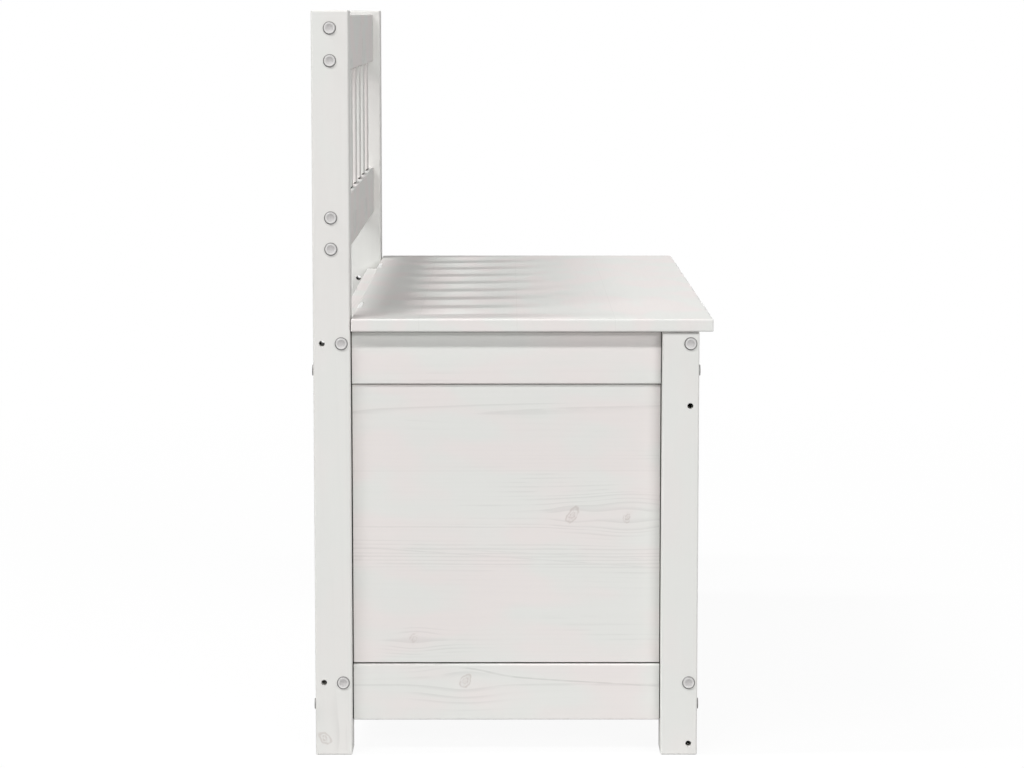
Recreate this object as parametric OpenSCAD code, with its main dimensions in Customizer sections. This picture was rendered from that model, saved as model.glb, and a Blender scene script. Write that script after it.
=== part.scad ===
// Chest bench with a slatted backrest: white lacquered pine frame and panels, bolted together,
// with a storage chest under a hinged seat lid.
// X runs along the bench, -Y is its front, +Z is up. The origin is on the floor, under the middle.

/* [Overall] */
// Length of the frame over the outer faces of the posts
frame_length = 794; // [660:2:1200]
// Depth of the frame from the back face of the back posts to the front face of the front posts
frame_depth = 396; // [350:1:480]
// Height of the back posts
back_height = 770; // [720:1:900]
// Height of the seat's top face
seat_height = 456; // [430:1:500]

/* [Posts] */
// Side of the square posts
post_side = 38; // [36:1:46]
// Rounding of the edges of the posts
post_round = 2; // [0.5:0.5:4]

/* [Seat frame rails] */
// Thickness of the rails of the seat frame
rail_thick = 18; // [16:1:20]
// Height of the rails under the seat
top_rail_height = 55; // [52:1:70]
// Height of the rails above the floor gap
bottom_rail_height = 59; // [56:1:70]
// Free height under the bottom rails
floor_gap = 35; // [20:1:60]
// Rounding of the edges of rails, slats and lid
rail_round = 1.5; // [0.5:0.25:2.5]
// Width of the shadow gap cut into the outer face of a rail's ends
end_gap = 1; // [0.5:0.25:2]
// Depth of that shadow gap
end_gap_depth = 4; // [2:0.5:4.5]

/* [Panels] */
// Thickness of the chest's panels
panel_thick = 12; // [10:0.5:14]
// Shadow gap between a panel and the rails and posts round it
panel_gap = 1; // [0.5:0.25:2]
// Rounding of the edges of the panels
panel_round = 0.8; // [0.25:0.25:1.5]
// Thickness of the tongue round each panel
tongue_thick = 5; // [4:0.5:7]
// Depth of the tongue inside its groove
tongue_reach = 7; // [5:0.5:9]

/* [Lid] */
// Thickness of the seat lid
lid_thick = 13; // [12:0.5:18]
// Overhang of the lid past the front face of the front posts
lid_front_overhang = 14; // [8:1:30]
// Overhang of the lid past the outer faces of the posts
lid_side_overhang = 3; // [2:0.5:20]
// Gap between the lid and the front face of the back posts
lid_post_gap = 1; // [0.8:0.1:3]
// Air left under the closed lid
lid_rest_gap = 0.3; // [0.3:0.1:1]
// Width of the battens under the lid
lid_batten_width = 45; // [30:1:60]
// Thickness of the battens under the lid
lid_batten_thick = 18; // [12:1:22]
// Distance from the posts' inner faces to the middle of each lid batten
lid_batten_inset = 209; // [180:1:250]
// Free length between a lid batten's ends and the lid's front and rear edges
lid_batten_setback = 45; // [40:1:70]

/* [Backrest] */
// Thickness of the two long rails of the backrest
back_rail_thick = 20; // [18:1:24]
// Height of the backrest's top rail
back_top_height = 59; // [45:1:75]
// Drop from the top of the back posts to the top rail
back_top_drop = 5; // [0:1:30]
// Height of the backrest's lower rail
back_lower_height = 58; // [45:1:75]
// Open height between the seat and the lower rail
back_open_height = 58.5; // [35:0.5:80]
// Number of slats
slat_count = 7; // [5:1:8]
// Width of a slat
slat_width = 35; // [25:1:45]
// Thickness of a slat
slat_thick = 13; // [10:0.5:15]
// Length of the tenon at each end of a slat
slat_tenon = 12; // [8:1:14]
// Width of the shoulder round a slat's tenon
slat_shoulder = 3; // [1.5:0.5:4]

/* [Chest bottom] */
// Thickness of the bottom board
bottom_thick = 9; // [6:0.5:12]
// Height of the battens that carry the bottom board
bottom_batten_height = 18; // [15:1:24]
// Width of the battens that carry the bottom board
bottom_batten_width = 15; // [12:1:20]
// Distance that the side battens stay clear of the posts
side_batten_setback = 40; // [34:1:60]
// Air round the edge of the bottom board
bottom_gap = 0.5; // [0.3:0.1:1]

/* [Bolts] */
// Diameter of the connector bolts
bolt_d = 6; // [5:0.5:7]
// Length of a bolt past the post, inside the rail
bolt_reach = 32; // [31:1:40]
// Diameter of a bolt's flat head
bolt_head_d = 12; // [10:0.5:14]
// Height of a bolt's flat head
bolt_head_height = 1.2; // [1:0.1:2]
// Wall round the side of a bolt's cap
cap_wall = 0.65; // [0.5:0.05:1]
// Thickness of the top of a bolt's cap
cap_top = 0.8; // [0.7:0.1:1]
// Width of the raised rim of a bolt's cap
cap_rim = 2; // [1.5:0.25:3]
// Depth of the dish inside a cap's rim
cap_dish = 0.25; // [0.1:0.05:0.3]
// Width over the flats of the hex socket in a bolt's head
socket_width = 4; // [3:0.5:4]
// Depth of the hex socket
socket_depth = 3; // [2:0.5:4]
// Diameter of the barrel nuts
nut_d = 10; // [9:0.5:11]
// Length of the barrel nuts
nut_length = 14; // [10:0.5:14]
// Distance from a rail's end to the middle of its barrel nut
nut_setback = 25; // [22:1:25]
// Drop from the top of the top rails to the bolts of the long rails
long_bolt_drop_top = 12.2; // [11:0.1:14]
// Drop from the top of the bottom rails to the bolts of the long rails
long_bolt_drop_bottom = 17.3; // [16:0.1:19]
// Drop from the top of the top rails to the bolts of the side rails
side_bolt_drop_top = 41.7; // [38:0.1:42]
// Drop from the top of the bottom rails to the bolts of the side rails
side_bolt_drop_bottom = 43.4; // [41:0.1:46]
// Distance from the edges of the backrest's rails to their bolts
back_bolt_inset = 13; // [10:0.5:15]

/* [Dowels] */
// Diameter of the dowels
dowel_d = 8; // [6:0.5:8]
// Depth of a dowel in its post
dowel_in_post = 13; // [10:0.5:13]
// Depth of a dowel in its rail
dowel_in_rail = 22; // [15:1:28]
// Drop from the top of the top rails to the dowels of the long rails
long_dowel_drop_top = 35; // [30:0.5:38]
// Drop from the top of the bottom rails to the dowels of the long rails
long_dowel_drop_bottom = 46; // [34:0.5:48]
// Drop from the top of the top rails to the dowels of the side rails
side_dowel_drop_top = 26; // [24:0.5:28]
// Drop from the top of the bottom rails to the dowels of the side rails
side_dowel_drop_bottom = 30; // [28:0.5:32]

/* [Hinges] */
// Length of a hinge
hinge_length = 60; // [50:1:70]
// Distance from the posts' inner faces to the middle of each hinge
hinge_inset = 109; // [80:1:125]
// Thickness of the hinge's leaves
leaf_thick = 1.5; // [1:0.1:1.6]
// Diameter of the hinge's knuckles
knuckle_d = 5; // [4.6:0.1:6]
// Diameter of the hinge's pin
pin_d = 2.6; // [2:0.1:3]
// Number of knuckles on a hinge, an odd number
knuckle_count = 5; // [3:2:7]
// Height of the frame's leaf below the pin
frame_leaf_height = 36; // [30:1:40]
// Width of the leaf part under the lid
lid_leaf_width = 28; // [24:1:36]
// Running gap between parts that turn past each other
running_gap = 0.3; // [0.25:0.05:0.5]
// Number of screws in each leaf
leaf_screw_count = 3; // [2:1:4]
// Diameter of the hinge screws
hinge_screw_d = 3; // [2.5:0.5:3.5]
// Length of the screws in the frame
frame_screw_length = 15; // [10:1:15]
// Length of the screws in the lid
lid_screw_length = 10; // [8:0.5:11]

/* [Batten screws] */
// Diameter of the screws in the battens
batten_screw_d = 4; // [3:0.5:4.5]
// Depth of a batten screw in the piece behind the batten
batten_screw_bite = 9; // [6:0.5:10]
// Number of screws in each long batten of the chest bottom
long_batten_screws = 5; // [3:1:7]
// Number of screws in each short batten
short_batten_screws = 3; // [2:1:5]
// Distance from a batten's ends to its outer screws
batten_screw_inset = 25; // [15:1:40]

/* [Fits] */
// Air all round a tongue or tenon in its groove or mortise
joint_air = 0.2; // [0.1:0.05:0.4]
// Air at the end of a tongue, tenon, dowel or nut in its hole
end_air = 0.5; // [0.3:0.1:0.8]
// Air round a bolt or dowel in its hole
hole_air = 0.1; // [0.05:0.05:0.2]
// Air round a screw, and round a bolt in its nut
thread_air = 0.05; // [0.03:0.01:0.1]

/* [Hidden] */

// Facets of round parts
$fn = 32;
// How far a cutting shape runs past the face that it opens
past = 1;
// Sides of the posts and of the pieces that come in pairs
LEFT = -1;
RIGHT = 1;

// Places along X, from the bench's middle outwards
x_out = frame_length / 2;
x_in = x_out - post_side;
x_mid = x_out - post_side / 2;
x_side_inner = x_mid - rail_thick / 2;
lid_batten_x = x_in - lid_batten_inset;
hinge_x = x_in - hinge_inset;

// Places along Y
cap_proud = bolt_head_height + cap_top;
depth = cap_proud + frame_depth + lid_front_overhang;
y_rear = depth / 2 - cap_proud;
y_front = y_rear - frame_depth;
y_back_post = y_rear - post_side;
y_front_post = y_front + post_side;
y_rear_rail = y_back_post + rail_thick / 2;
y_front_rail = y_front + rail_thick / 2;
y_front_inner = y_front + rail_thick;
y_back_rest = y_rear - post_side / 2;
y_lid_rear = y_back_post - lid_post_gap;
y_lid_front = y_front - lid_front_overhang;

// Heights
lid_bottom = seat_height - lid_thick;
frame_top = lid_bottom - lid_rest_gap;
top_rail_low = frame_top - top_rail_height;
bottom_rail_top = floor_gap + bottom_rail_height;
bottom_low = floor_gap + bottom_batten_height;
back_top = back_height - back_top_drop;
back_top_low = back_top - back_top_height;
back_lower_low = seat_height + back_open_height;
back_lower_top = back_lower_low + back_lower_height;

// Bolts and dowels as [y, z] for the long rails and as z for the side rails
long_bolt_z = [frame_top - long_bolt_drop_top, bottom_rail_top - long_bolt_drop_bottom];
side_bolt_z = [frame_top - side_bolt_drop_top, bottom_rail_top - side_bolt_drop_bottom];
long_dowel_z = [frame_top - long_dowel_drop_top, bottom_rail_top - long_dowel_drop_bottom];
side_dowel_z = [frame_top - side_dowel_drop_top, bottom_rail_top - side_dowel_drop_bottom];
back_bolt_z = [back_top - back_bolt_inset, back_top_low + back_bolt_inset,
               back_lower_top - back_bolt_inset, back_lower_low + back_bolt_inset];
bolt_hole_d = bolt_d + 2 * hole_air;
nut_hole_d = nut_d + 2 * hole_air;
dowel_hole_d = dowel_d + 2 * hole_air;
groove_width = tongue_thick + 2 * joint_air;
groove_depth = tongue_reach + end_air;

// Slats
slat_gap = (2 * x_in - slat_count * slat_width) / (slat_count + 1);
function slat_x(i) = -x_in + i * (slat_gap + slat_width) - slat_width / 2;

// Hinge: the pin lies a knuckle's radius in front of the lid's rear edge and below its top
knuckle_r = knuckle_d / 2;
y_pin = y_lid_rear - knuckle_r;
z_pin = seat_height - knuckle_r;
knuckle_pitch = hinge_length / knuckle_count;
y_notch = y_pin - knuckle_r - running_gap;
notch_length = hinge_length + 2 * running_gap;
leaf_screw_pitch = (hinge_length - hinge_length / leaf_screw_count) / (leaf_screw_count - 1);
frame_leaf_screw_z = (frame_top + z_pin - frame_leaf_height) / 2;
lid_leaf_screw_y = y_notch - (lid_leaf_width + leaf_thick) / 2;
head_ratio = 1.9;

// Lid battens
lid_batten_rear = y_lid_rear - lid_batten_setback;
lid_batten_front = y_lid_front + lid_front_overhang + lid_batten_setback;
bottom_screw_z = floor_gap + bottom_batten_height / 2;

white = [0.93, 0.93, 0.92];
cap_grey = [0.86, 0.86, 0.86];
steel = [0.70, 0.70, 0.72];
beech = [0.80, 0.62, 0.42];

// Plain block between two opposite corners, in any order
module block(a, b) {
    lo = [for (i = [0 : 2]) min(a[i], b[i])];
    hi = [for (i = [0 : 2]) max(a[i], b[i])];
    translate(lo) cube(hi - lo);
}

// Rectangle about the origin with round corners
module rounded_rectangle(w, h, r) {
    square([w - 2 * r, h], center = true);
    square([w, h - 2 * r], center = true);
    for (sx = [-1, 1], sy = [-1, 1])
        translate([sx * (w / 2 - r), sy * (h / 2 - r)]) circle(r);
}

// Board between two corners with all its edges rounded
module board(lo, hi, r) {
    size = hi - lo;
    translate((lo + hi) / 2) intersection() {
        linear_extrude(size.z, center = true) rounded_rectangle(size.x, size.y, r);
        rotate([90, 0, 0]) linear_extrude(size.y, center = true) rounded_rectangle(size.x, size.z, r);
        rotate([90, 0, 90]) linear_extrude(size.x, center = true) rounded_rectangle(size.y, size.z, r);
    }
}

// Round hole along X between two places
module bore_x(d, x0, x1, y, z) {
    translate([min(x0, x1), y, z]) rotate([0, 90, 0]) cylinder(h = abs(x1 - x0), d = d);
}

// Round hole along Y between two places
module bore_y(d, y0, y1, x, z) {
    translate([x, max(y0, y1), z]) rotate([90, 0, 0]) cylinder(h = abs(y1 - y0), d = d);
}

// Countersunk screw: its head's flat end is at the origin and it points along +Z
module screw(d, length, air = 0) {
    head_height = d * (head_ratio - 1) / 2;
    cylinder(h = head_height, d1 = d * head_ratio + 2 * air, d2 = d + 2 * air);
    cylinder(h = length + air, d = d + 2 * air);
}

// Bolt with a flat head on the post's outer face and its shank along +Z
module bolt() {
    difference() {
        union() {
            translate([0, 0, -bolt_head_height])
                cylinder(h = bolt_head_height, d1 = bolt_head_d - bolt_head_height, d2 = bolt_head_d);
            cylinder(h = post_side + bolt_reach, d = bolt_d);
        }
        translate([0, 0, -bolt_head_height - past])
            cylinder(h = socket_depth + past, d = socket_width / cos(30), $fn = 6);
    }
}

// Cap over a bolt's head, a shallow cup with a chamfered rim round a slight dish
module bolt_cap() {
    inner_r = bolt_head_d / 2 + thread_air;
    outer_r = inner_r + cap_wall;
    chamfer = cap_top / 2;
    dish_r = outer_r - cap_rim;
    rotate_extrude()
        polygon([[0, -cap_proud + cap_dish], [dish_r - cap_dish, -cap_proud + cap_dish],
                 [dish_r, -cap_proud], [outer_r - chamfer, -cap_proud],
                 [outer_r, -cap_proud + chamfer], [outer_r, 0], [inner_r, 0],
                 [inner_r, -bolt_head_height - thread_air], [0, -bolt_head_height - thread_air]]);
}

// Barrel nut across its bolt; turn sets the direction of its axis
module barrel_nut(turn) {
    translate([0, 0, post_side + nut_setback]) rotate([90, 0, turn]) difference() {
        cylinder(h = nut_length, d = nut_d, center = true);
        rotate([90, 0, 0]) cylinder(h = nut_d + 2 * past, d = bolt_d + 2 * thread_air, center = true);
    }
}

// Dowel across the joint between a post and a rail, with its rail end along +Z
module dowel() {
    translate([0, 0, -dowel_in_post]) cylinder(h = dowel_in_post + dowel_in_rail, d = dowel_d);
}

// Places of the bolts, at the posts' outer faces, with +Z into the post
module at_backrest_bolts() {
    for (side = [LEFT, RIGHT], z = back_bolt_z)
        translate([side * x_out, y_back_rest, z]) rotate([0, -side * 90, 0]) children();
}

module at_long_rail_bolts() {
    for (side = [LEFT, RIGHT], y = [y_front_rail, y_rear_rail], z = long_bolt_z)
        translate([side * x_out, y, z]) rotate([0, -side * 90, 0]) children();
}

module at_side_rail_bolts() {
    for (side = [LEFT, RIGHT], z = side_bolt_z) {
        translate([side * x_mid, y_rear, z]) rotate([90, 0, 0]) children();
        translate([side * x_mid, y_front, z]) rotate([-90, 0, 0]) children();
    }
}

// Shadow gap and holes of one end of a long rail. open_y is the face that its nut goes in from
module long_rail_end(side, y, open_y, bolt_z, dowel_z) {
    end = side * x_in;
    outward = sign(y - open_y);
    face = y + outward * rail_thick / 2;
    block([end + side * past, face + outward * past, 0],
          [end - side * end_gap, face - outward * end_gap_depth, seat_height]);
    bore_x(bolt_hole_d, end + side * past, end - side * (bolt_reach + end_air), y, bolt_z);
    nut_hole_y(side, y, open_y, bolt_z);
    bore_x(dowel_hole_d, end + side * past, end - side * (dowel_in_rail + end_air), y, dowel_z);
}

// Blind hole along Y for a barrel nut near a long rail's end
module nut_hole_y(side, y, open_y, z) {
    inward = sign(y - open_y);
    bore_y(nut_hole_d, open_y - inward * past, y + inward * (nut_length / 2 + hole_air),
           side * (x_in - nut_setback), z);
}

// Long rail of the seat frame. groove_z is the edge that holds the panel, open_y the chest's side
module long_rail(y, low, high, open_y, bolt_z, dowel_z, groove_z) {
    inward = sign((low + high) / 2 - groove_z);
    difference() {
        board([-x_in, y - rail_thick / 2, low], [x_in, y + rail_thick / 2, high], rail_round);
        for (side = [LEFT, RIGHT]) long_rail_end(side, y, open_y, bolt_z, dowel_z);
        groove_x(y, groove_z, inward);
    }
}

// Groove along X in a rail's edge
module groove_x(y, z, inward) {
    block([-x_in - past, y - groove_width / 2, z - inward * past],
          [x_in + past, y + groove_width / 2, z + inward * groove_depth]);
}

module front_top_rail() {
    color(white) long_rail(y_front_rail, top_rail_low, frame_top, y_front_inner,
                           long_bolt_z[0], long_dowel_z[0], top_rail_low);
}

module front_bottom_rail() {
    color(white) difference() {
        long_rail(y_front_rail, floor_gap, bottom_rail_top, y_front_inner,
                  long_bolt_z[1], long_dowel_z[1], bottom_rail_top);
        at_front_batten_screws() screw(batten_screw_d, long_screw, thread_air);
    }
}

module rear_top_rail() {
    color(white) difference() {
        long_rail(y_rear_rail, top_rail_low, frame_top, y_back_post,
                  long_bolt_z[0], long_dowel_z[0], top_rail_low);
        for (side = [LEFT, RIGHT]) at_frame_leaf_screws(side)
            screw(hinge_screw_d, frame_screw_length, thread_air);
    }
}

module rear_bottom_rail() {
    color(white) difference() {
        long_rail(y_rear_rail, floor_gap, bottom_rail_top, y_back_post,
                  long_bolt_z[1], long_dowel_z[1], bottom_rail_top);
        at_rear_batten_screws() screw(batten_screw_d, long_screw, thread_air);
    }
}

// Side rail between the left posts, bored at both ends from its own inner face
module side_rail(low, high, bolt_z, dowel_z, groove_z) {
    face = -x_mid - rail_thick / 2;
    inward = sign((low + high) / 2 - groove_z);
    difference() {
        board([face, y_front_post, low], [-x_side_inner, y_back_post, high], rail_round);
        for (end = [[y_front_post, 1], [y_back_post, -1]]) {
            y = end[0];
            into = end[1];
            bore_y(bolt_hole_d, y - into * past, y + into * (bolt_reach + end_air), -x_mid, bolt_z);
            bore_y(dowel_hole_d, y - into * past, y + into * (dowel_in_rail + end_air), -x_mid, dowel_z);
            bore_x(nut_hole_d, -x_mid - nut_length / 2 - hole_air, -x_side_inner + past,
                   y + into * nut_setback, bolt_z);
            block([face - past, y - into * past, low - past],
                  [face + end_gap_depth, y + into * end_gap, high + past]);
        }
        block([-x_mid - groove_width / 2, y_front_post - past, groove_z - inward * past],
              [-x_mid + groove_width / 2, y_back_post + past, groove_z + inward * groove_depth]);
    }
}

// Copy on the left as drawn, or on the right mirrored
module on_side(side) {
    if (side == LEFT) children();
    else mirror([1, 0, 0]) children();
}

module side_top_rail(side) {
    color(white) on_side(side)
        side_rail(top_rail_low, frame_top, side_bolt_z[0], side_dowel_z[0], top_rail_low);
}

module side_bottom_rail(side) {
    color(white) on_side(side) difference() {
        side_rail(floor_gap, bottom_rail_top, side_bolt_z[1], side_dowel_z[1], bottom_rail_top);
        at_side_batten_screws() screw(batten_screw_d, long_screw, thread_air);
    }
}

// Holes that every post has: bolts and dowels of the long rails, bolts and dowels of the side rails
module post_holes(y_long, y_face, into) {
    for (z = long_bolt_z) bore_x(bolt_hole_d, -x_out - past, -x_in + past, y_long, z);
    for (z = long_dowel_z)
        bore_x(dowel_hole_d, -x_in - dowel_in_post - end_air, -x_in + past, y_long, z);
    for (z = side_bolt_z)
        bore_y(bolt_hole_d, y_face - into * past, y_face + into * (post_side + past), -x_mid, z);
    for (z = side_dowel_z)
        bore_y(dowel_hole_d, y_face - into * past, y_face + into * (dowel_in_post + end_air), -x_mid, z);
}

// Stopped grooves of a post for the side panel and for the long panel
module post_grooves(y_long, y_face, into) {
    low = bottom_rail_top - groove_depth;
    high = top_rail_low + groove_depth;
    block([-x_mid - groove_width / 2, y_face - into * past, low],
          [-x_mid + groove_width / 2, y_face + into * groove_depth, high]);
    block([-x_in - groove_depth, y_long - groove_width / 2, low],
          [-x_in + past, y_long + groove_width / 2, high]);
}

// A back post serves either side of the bench when turned round, so its long rail holes repeat at the back
module back_post(side) {
    color(white) on_side(side) difference() {
        board([-x_out, y_back_post, 0], [-x_in, y_rear, back_height], post_round);
        post_holes(y_rear_rail, y_back_post, 1);
        post_grooves(y_rear_rail, y_back_post, 1);
        for (z = back_bolt_z) bore_x(bolt_hole_d, -x_out - past, -x_in + past, y_back_rest, z);
        for (z = long_bolt_z)
            bore_x(bolt_hole_d, -x_out - past, -x_in + past, y_rear - rail_thick / 2, z);
    }
}

// A front post serves either side when turned upside down, so its long rail holes repeat in reverse
module front_post(side) {
    color(white) on_side(side) difference() {
        board([-x_out, y_front, 0], [-x_in, y_front_post, frame_top], post_round);
        post_holes(y_front_rail, y_front_post, -1);
        post_grooves(y_front_rail, y_front_post, -1);
        for (z = long_bolt_z)
            bore_x(bolt_hole_d, -x_out - past, -x_in + past, y_front_rail, frame_top - z);
    }
}

// Panel with a tongue round it. normal is the unit vector across it; lo and hi are the opening's corners
module tongued_panel(lo, hi, normal) {
    plane = [1, 1, 1] - normal;
    union() {
        board(lo + plane * panel_gap - normal * panel_thick / 2,
              hi - plane * panel_gap + normal * panel_thick / 2, panel_round);
        block(lo - plane * tongue_reach - normal * tongue_thick / 2,
              hi + plane * tongue_reach + normal * tongue_thick / 2);
    }
}

module long_panel(y) {
    color(white) tongued_panel([-x_in, y, bottom_rail_top], [x_in, y, top_rail_low], [0, 1, 0]);
}

module front_panel() {
    long_panel(y_front_rail);
}

module rear_panel() {
    long_panel(y_rear_rail);
}

module side_panel(side) {
    color(white) on_side(side)
        tongued_panel([-x_mid, y_front_post, bottom_rail_top],
                      [-x_mid, y_back_post, top_rail_low], [1, 0, 0]);
}

// Bottom board inside the chest, notched round the front posts
module bottom_board() {
    x = x_side_inner - bottom_gap;
    notch_x = x_in - bottom_gap;
    top = bottom_low + bottom_thick;
    color(white) difference() {
        block([-x, y_front_inner + bottom_gap, bottom_low], [x, y_back_post - bottom_gap, top]);
        for (side = [LEFT, RIGHT]) on_side(side)
            block([-x - past, y_front, bottom_low - past],
                  [-notch_x, y_front_post + bottom_gap, top + past]);
    }
}

// Battens of the chest bottom, each screwed to the inner face of its rail
long_screw = bottom_batten_width + batten_screw_bite;
long_batten_half = x_in - bottom_gap;
rear_batten_half = x_side_inner - bottom_batten_width - bottom_gap;
side_batten_front = y_front_post + side_batten_setback;
side_batten_rear = y_back_post - side_batten_setback;
function spread(i, count, half) = -half + 2 * half * i / (count - 1);

module at_front_batten_screws() {
    for (i = [0 : long_batten_screws - 1])
        translate([spread(i, long_batten_screws, long_batten_half - batten_screw_inset),
                   y_front_inner + bottom_batten_width, bottom_screw_z])
            rotate([90, 0, 0]) children();
}

module at_rear_batten_screws() {
    for (i = [0 : long_batten_screws - 1])
        translate([spread(i, long_batten_screws, rear_batten_half - batten_screw_inset),
                   y_back_post - bottom_batten_width, bottom_screw_z])
            rotate([-90, 0, 0]) children();
}

module at_side_batten_screws() {
    middle = (side_batten_front + side_batten_rear) / 2;
    half = (side_batten_rear - side_batten_front) / 2 - batten_screw_inset;
    for (i = [0 : short_batten_screws - 1])
        translate([-x_side_inner + bottom_batten_width,
                   middle + spread(i, short_batten_screws, half), bottom_screw_z])
            rotate([0, -90, 0]) children();
}

module bottom_batten_front() {
    color(white) difference() {
        block([-long_batten_half, y_front_inner, floor_gap],
              [long_batten_half, y_front_inner + bottom_batten_width, bottom_low]);
        at_front_batten_screws() screw(batten_screw_d, long_screw, thread_air);
    }
}

module bottom_batten_rear() {
    color(white) difference() {
        block([-rear_batten_half, y_back_post - bottom_batten_width, floor_gap],
              [rear_batten_half, y_back_post, bottom_low]);
        at_rear_batten_screws() screw(batten_screw_d, long_screw, thread_air);
    }
}

module bottom_batten_side(side) {
    color(white) on_side(side) difference() {
        block([-x_side_inner, side_batten_front, floor_gap],
              [-x_side_inner + bottom_batten_width, side_batten_rear, bottom_low]);
        at_side_batten_screws() screw(batten_screw_d, long_screw, thread_air);
    }
}

module bottom_batten_screws() {
    color(steel) {
        at_front_batten_screws() screw(batten_screw_d, long_screw);
        at_rear_batten_screws() screw(batten_screw_d, long_screw);
        for (side = [LEFT, RIGHT]) on_side(side)
            at_side_batten_screws() screw(batten_screw_d, long_screw);
    }
}

// Long rail of the backrest, with mortises for the slats in the edge at mortise_z
module backrest_rail(low, high, mortise_z) {
    inward = sign((low + high) / 2 - mortise_z);
    half_w = slat_width / 2 - slat_shoulder + joint_air;
    half_t = slat_thick / 2 - slat_shoulder + joint_air;
    difference() {
        board([-x_in, y_back_rest - back_rail_thick / 2, low],
              [x_in, y_back_rest + back_rail_thick / 2, high], rail_round);
        for (side = [LEFT, RIGHT], z = [low + back_bolt_inset, high - back_bolt_inset]) {
            bore_x(bolt_hole_d, side * (x_in + past), side * (x_in - bolt_reach - end_air), y_back_rest, z);
            nut_hole_y(side, y_back_rest, y_back_rest + back_rail_thick / 2, z);
        }
        for (i = [1 : slat_count])
            block([slat_x(i) - half_w, y_back_rest - half_t, mortise_z - inward * past],
                  [slat_x(i) + half_w, y_back_rest + half_t, mortise_z + inward * (slat_tenon + end_air)]);
    }
}

module backrest_top_rail() {
    color(white) backrest_rail(back_top_low, back_top, back_top_low);
}

module backrest_lower_rail() {
    color(white) backrest_rail(back_lower_low, back_lower_top, back_lower_top);
}

// Upright slat with a tenon at each end
module backrest_slat(i) {
    half_w = slat_width / 2;
    half_t = slat_thick / 2;
    color(white) translate([slat_x(i), y_back_rest, 0]) {
        board([-half_w, -half_t, back_lower_top], [half_w, half_t, back_top_low], rail_round);
        block([slat_shoulder - half_w, slat_shoulder - half_t, back_lower_top - slat_tenon],
              [half_w - slat_shoulder, half_t - slat_shoulder, back_top_low + slat_tenon]);
    }
}

module backrest_bolts() {
    color(steel) at_backrest_bolts() bolt();
}

module long_rail_bolts() {
    color(steel) at_long_rail_bolts() bolt();
}

module side_rail_bolts() {
    color(steel) at_side_rail_bolts() bolt();
}

module backrest_bolt_caps() {
    color(cap_grey) at_backrest_bolts() bolt_cap();
}

module long_rail_bolt_caps() {
    color(cap_grey) at_long_rail_bolts() bolt_cap();
}

module side_rail_bolt_caps() {
    color(cap_grey) at_side_rail_bolts() bolt_cap();
}

module backrest_barrel_nuts() {
    color(steel) at_backrest_bolts() barrel_nut(0);
}

module long_rail_barrel_nuts() {
    color(steel) at_long_rail_bolts() barrel_nut(0);
}

module side_rail_barrel_nuts() {
    color(steel) at_side_rail_bolts() barrel_nut(90);
}

module long_rail_dowels() {
    color(beech) for (side = [LEFT, RIGHT], y = [y_front_rail, y_rear_rail], z = long_dowel_z)
        translate([side * x_in, y, z]) rotate([0, -side * 90, 0]) dowel();
}

module side_rail_dowels() {
    color(beech) for (side = [LEFT, RIGHT], z = side_dowel_z) {
        translate([side * x_mid, y_back_post, z]) rotate([90, 0, 0]) dowel();
        translate([side * x_mid, y_front_post, z]) rotate([-90, 0, 0]) dowel();
    }
}

// Places of the screws of a hinge's two leaves, with +Z into the wood
module at_frame_leaf_screws(side) {
    for (i = [0 : leaf_screw_count - 1])
        translate([side * hinge_x + (i - (leaf_screw_count - 1) / 2) * leaf_screw_pitch,
                   y_back_post - leaf_thick, frame_leaf_screw_z])
            rotate([-90, 0, 0]) children();
}

module at_lid_leaf_screws(side) {
    for (i = [0 : leaf_screw_count - 1])
        translate([side * hinge_x + (i - (leaf_screw_count - 1) / 2) * leaf_screw_pitch,
                   lid_leaf_screw_y, lid_bottom])
            children();
}

// Cylinder about the pin's axis for knuckle i of a hinge centred on x = 0
module knuckle(i) {
    start = -hinge_length / 2 + i * knuckle_pitch + (i == 0 ? 0 : running_gap / 2);
    stop = -hinge_length / 2 + (i + 1) * knuckle_pitch - (i == knuckle_count - 1 ? 0 : running_gap / 2);
    bore_x(knuckle_d, start, stop, y_pin, z_pin);
}

// Slice of space over knuckle i, wider than the knuckle by the gap on each side
module knuckle_slice(i, y0, y1, z0, z1) {
    start = -hinge_length / 2 + i * knuckle_pitch - running_gap / 2;
    block([start, y0, z0], [start + knuckle_pitch + running_gap, y1, z1]);
}

module pin_bore() {
    bore_x(pin_d + 2 * hole_air, -hinge_length, hinge_length, y_pin, z_pin);
}

// Leaf on the inner face of the rear rail, behind the lid's rear edge, with the even knuckles
module hinge_frame_leaf(side) {
    color(white) difference() {
        translate([side * hinge_x, 0, 0]) difference() {
            union() {
                block([-hinge_length / 2, y_back_post - leaf_thick, z_pin - frame_leaf_height],
                      [hinge_length / 2, y_back_post, z_pin]);
                for (i = [0 : 2 : knuckle_count - 1]) knuckle(i);
            }
            for (i = [1 : 2 : knuckle_count - 1])
                knuckle_slice(i, y_back_post - knuckle_d, y_back_post + past,
                              z_pin - knuckle_r - running_gap, seat_height + past);
            pin_bore();
        }
        at_frame_leaf_screws(side) screw(hinge_screw_d, frame_screw_length, thread_air);
    }
}

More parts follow.
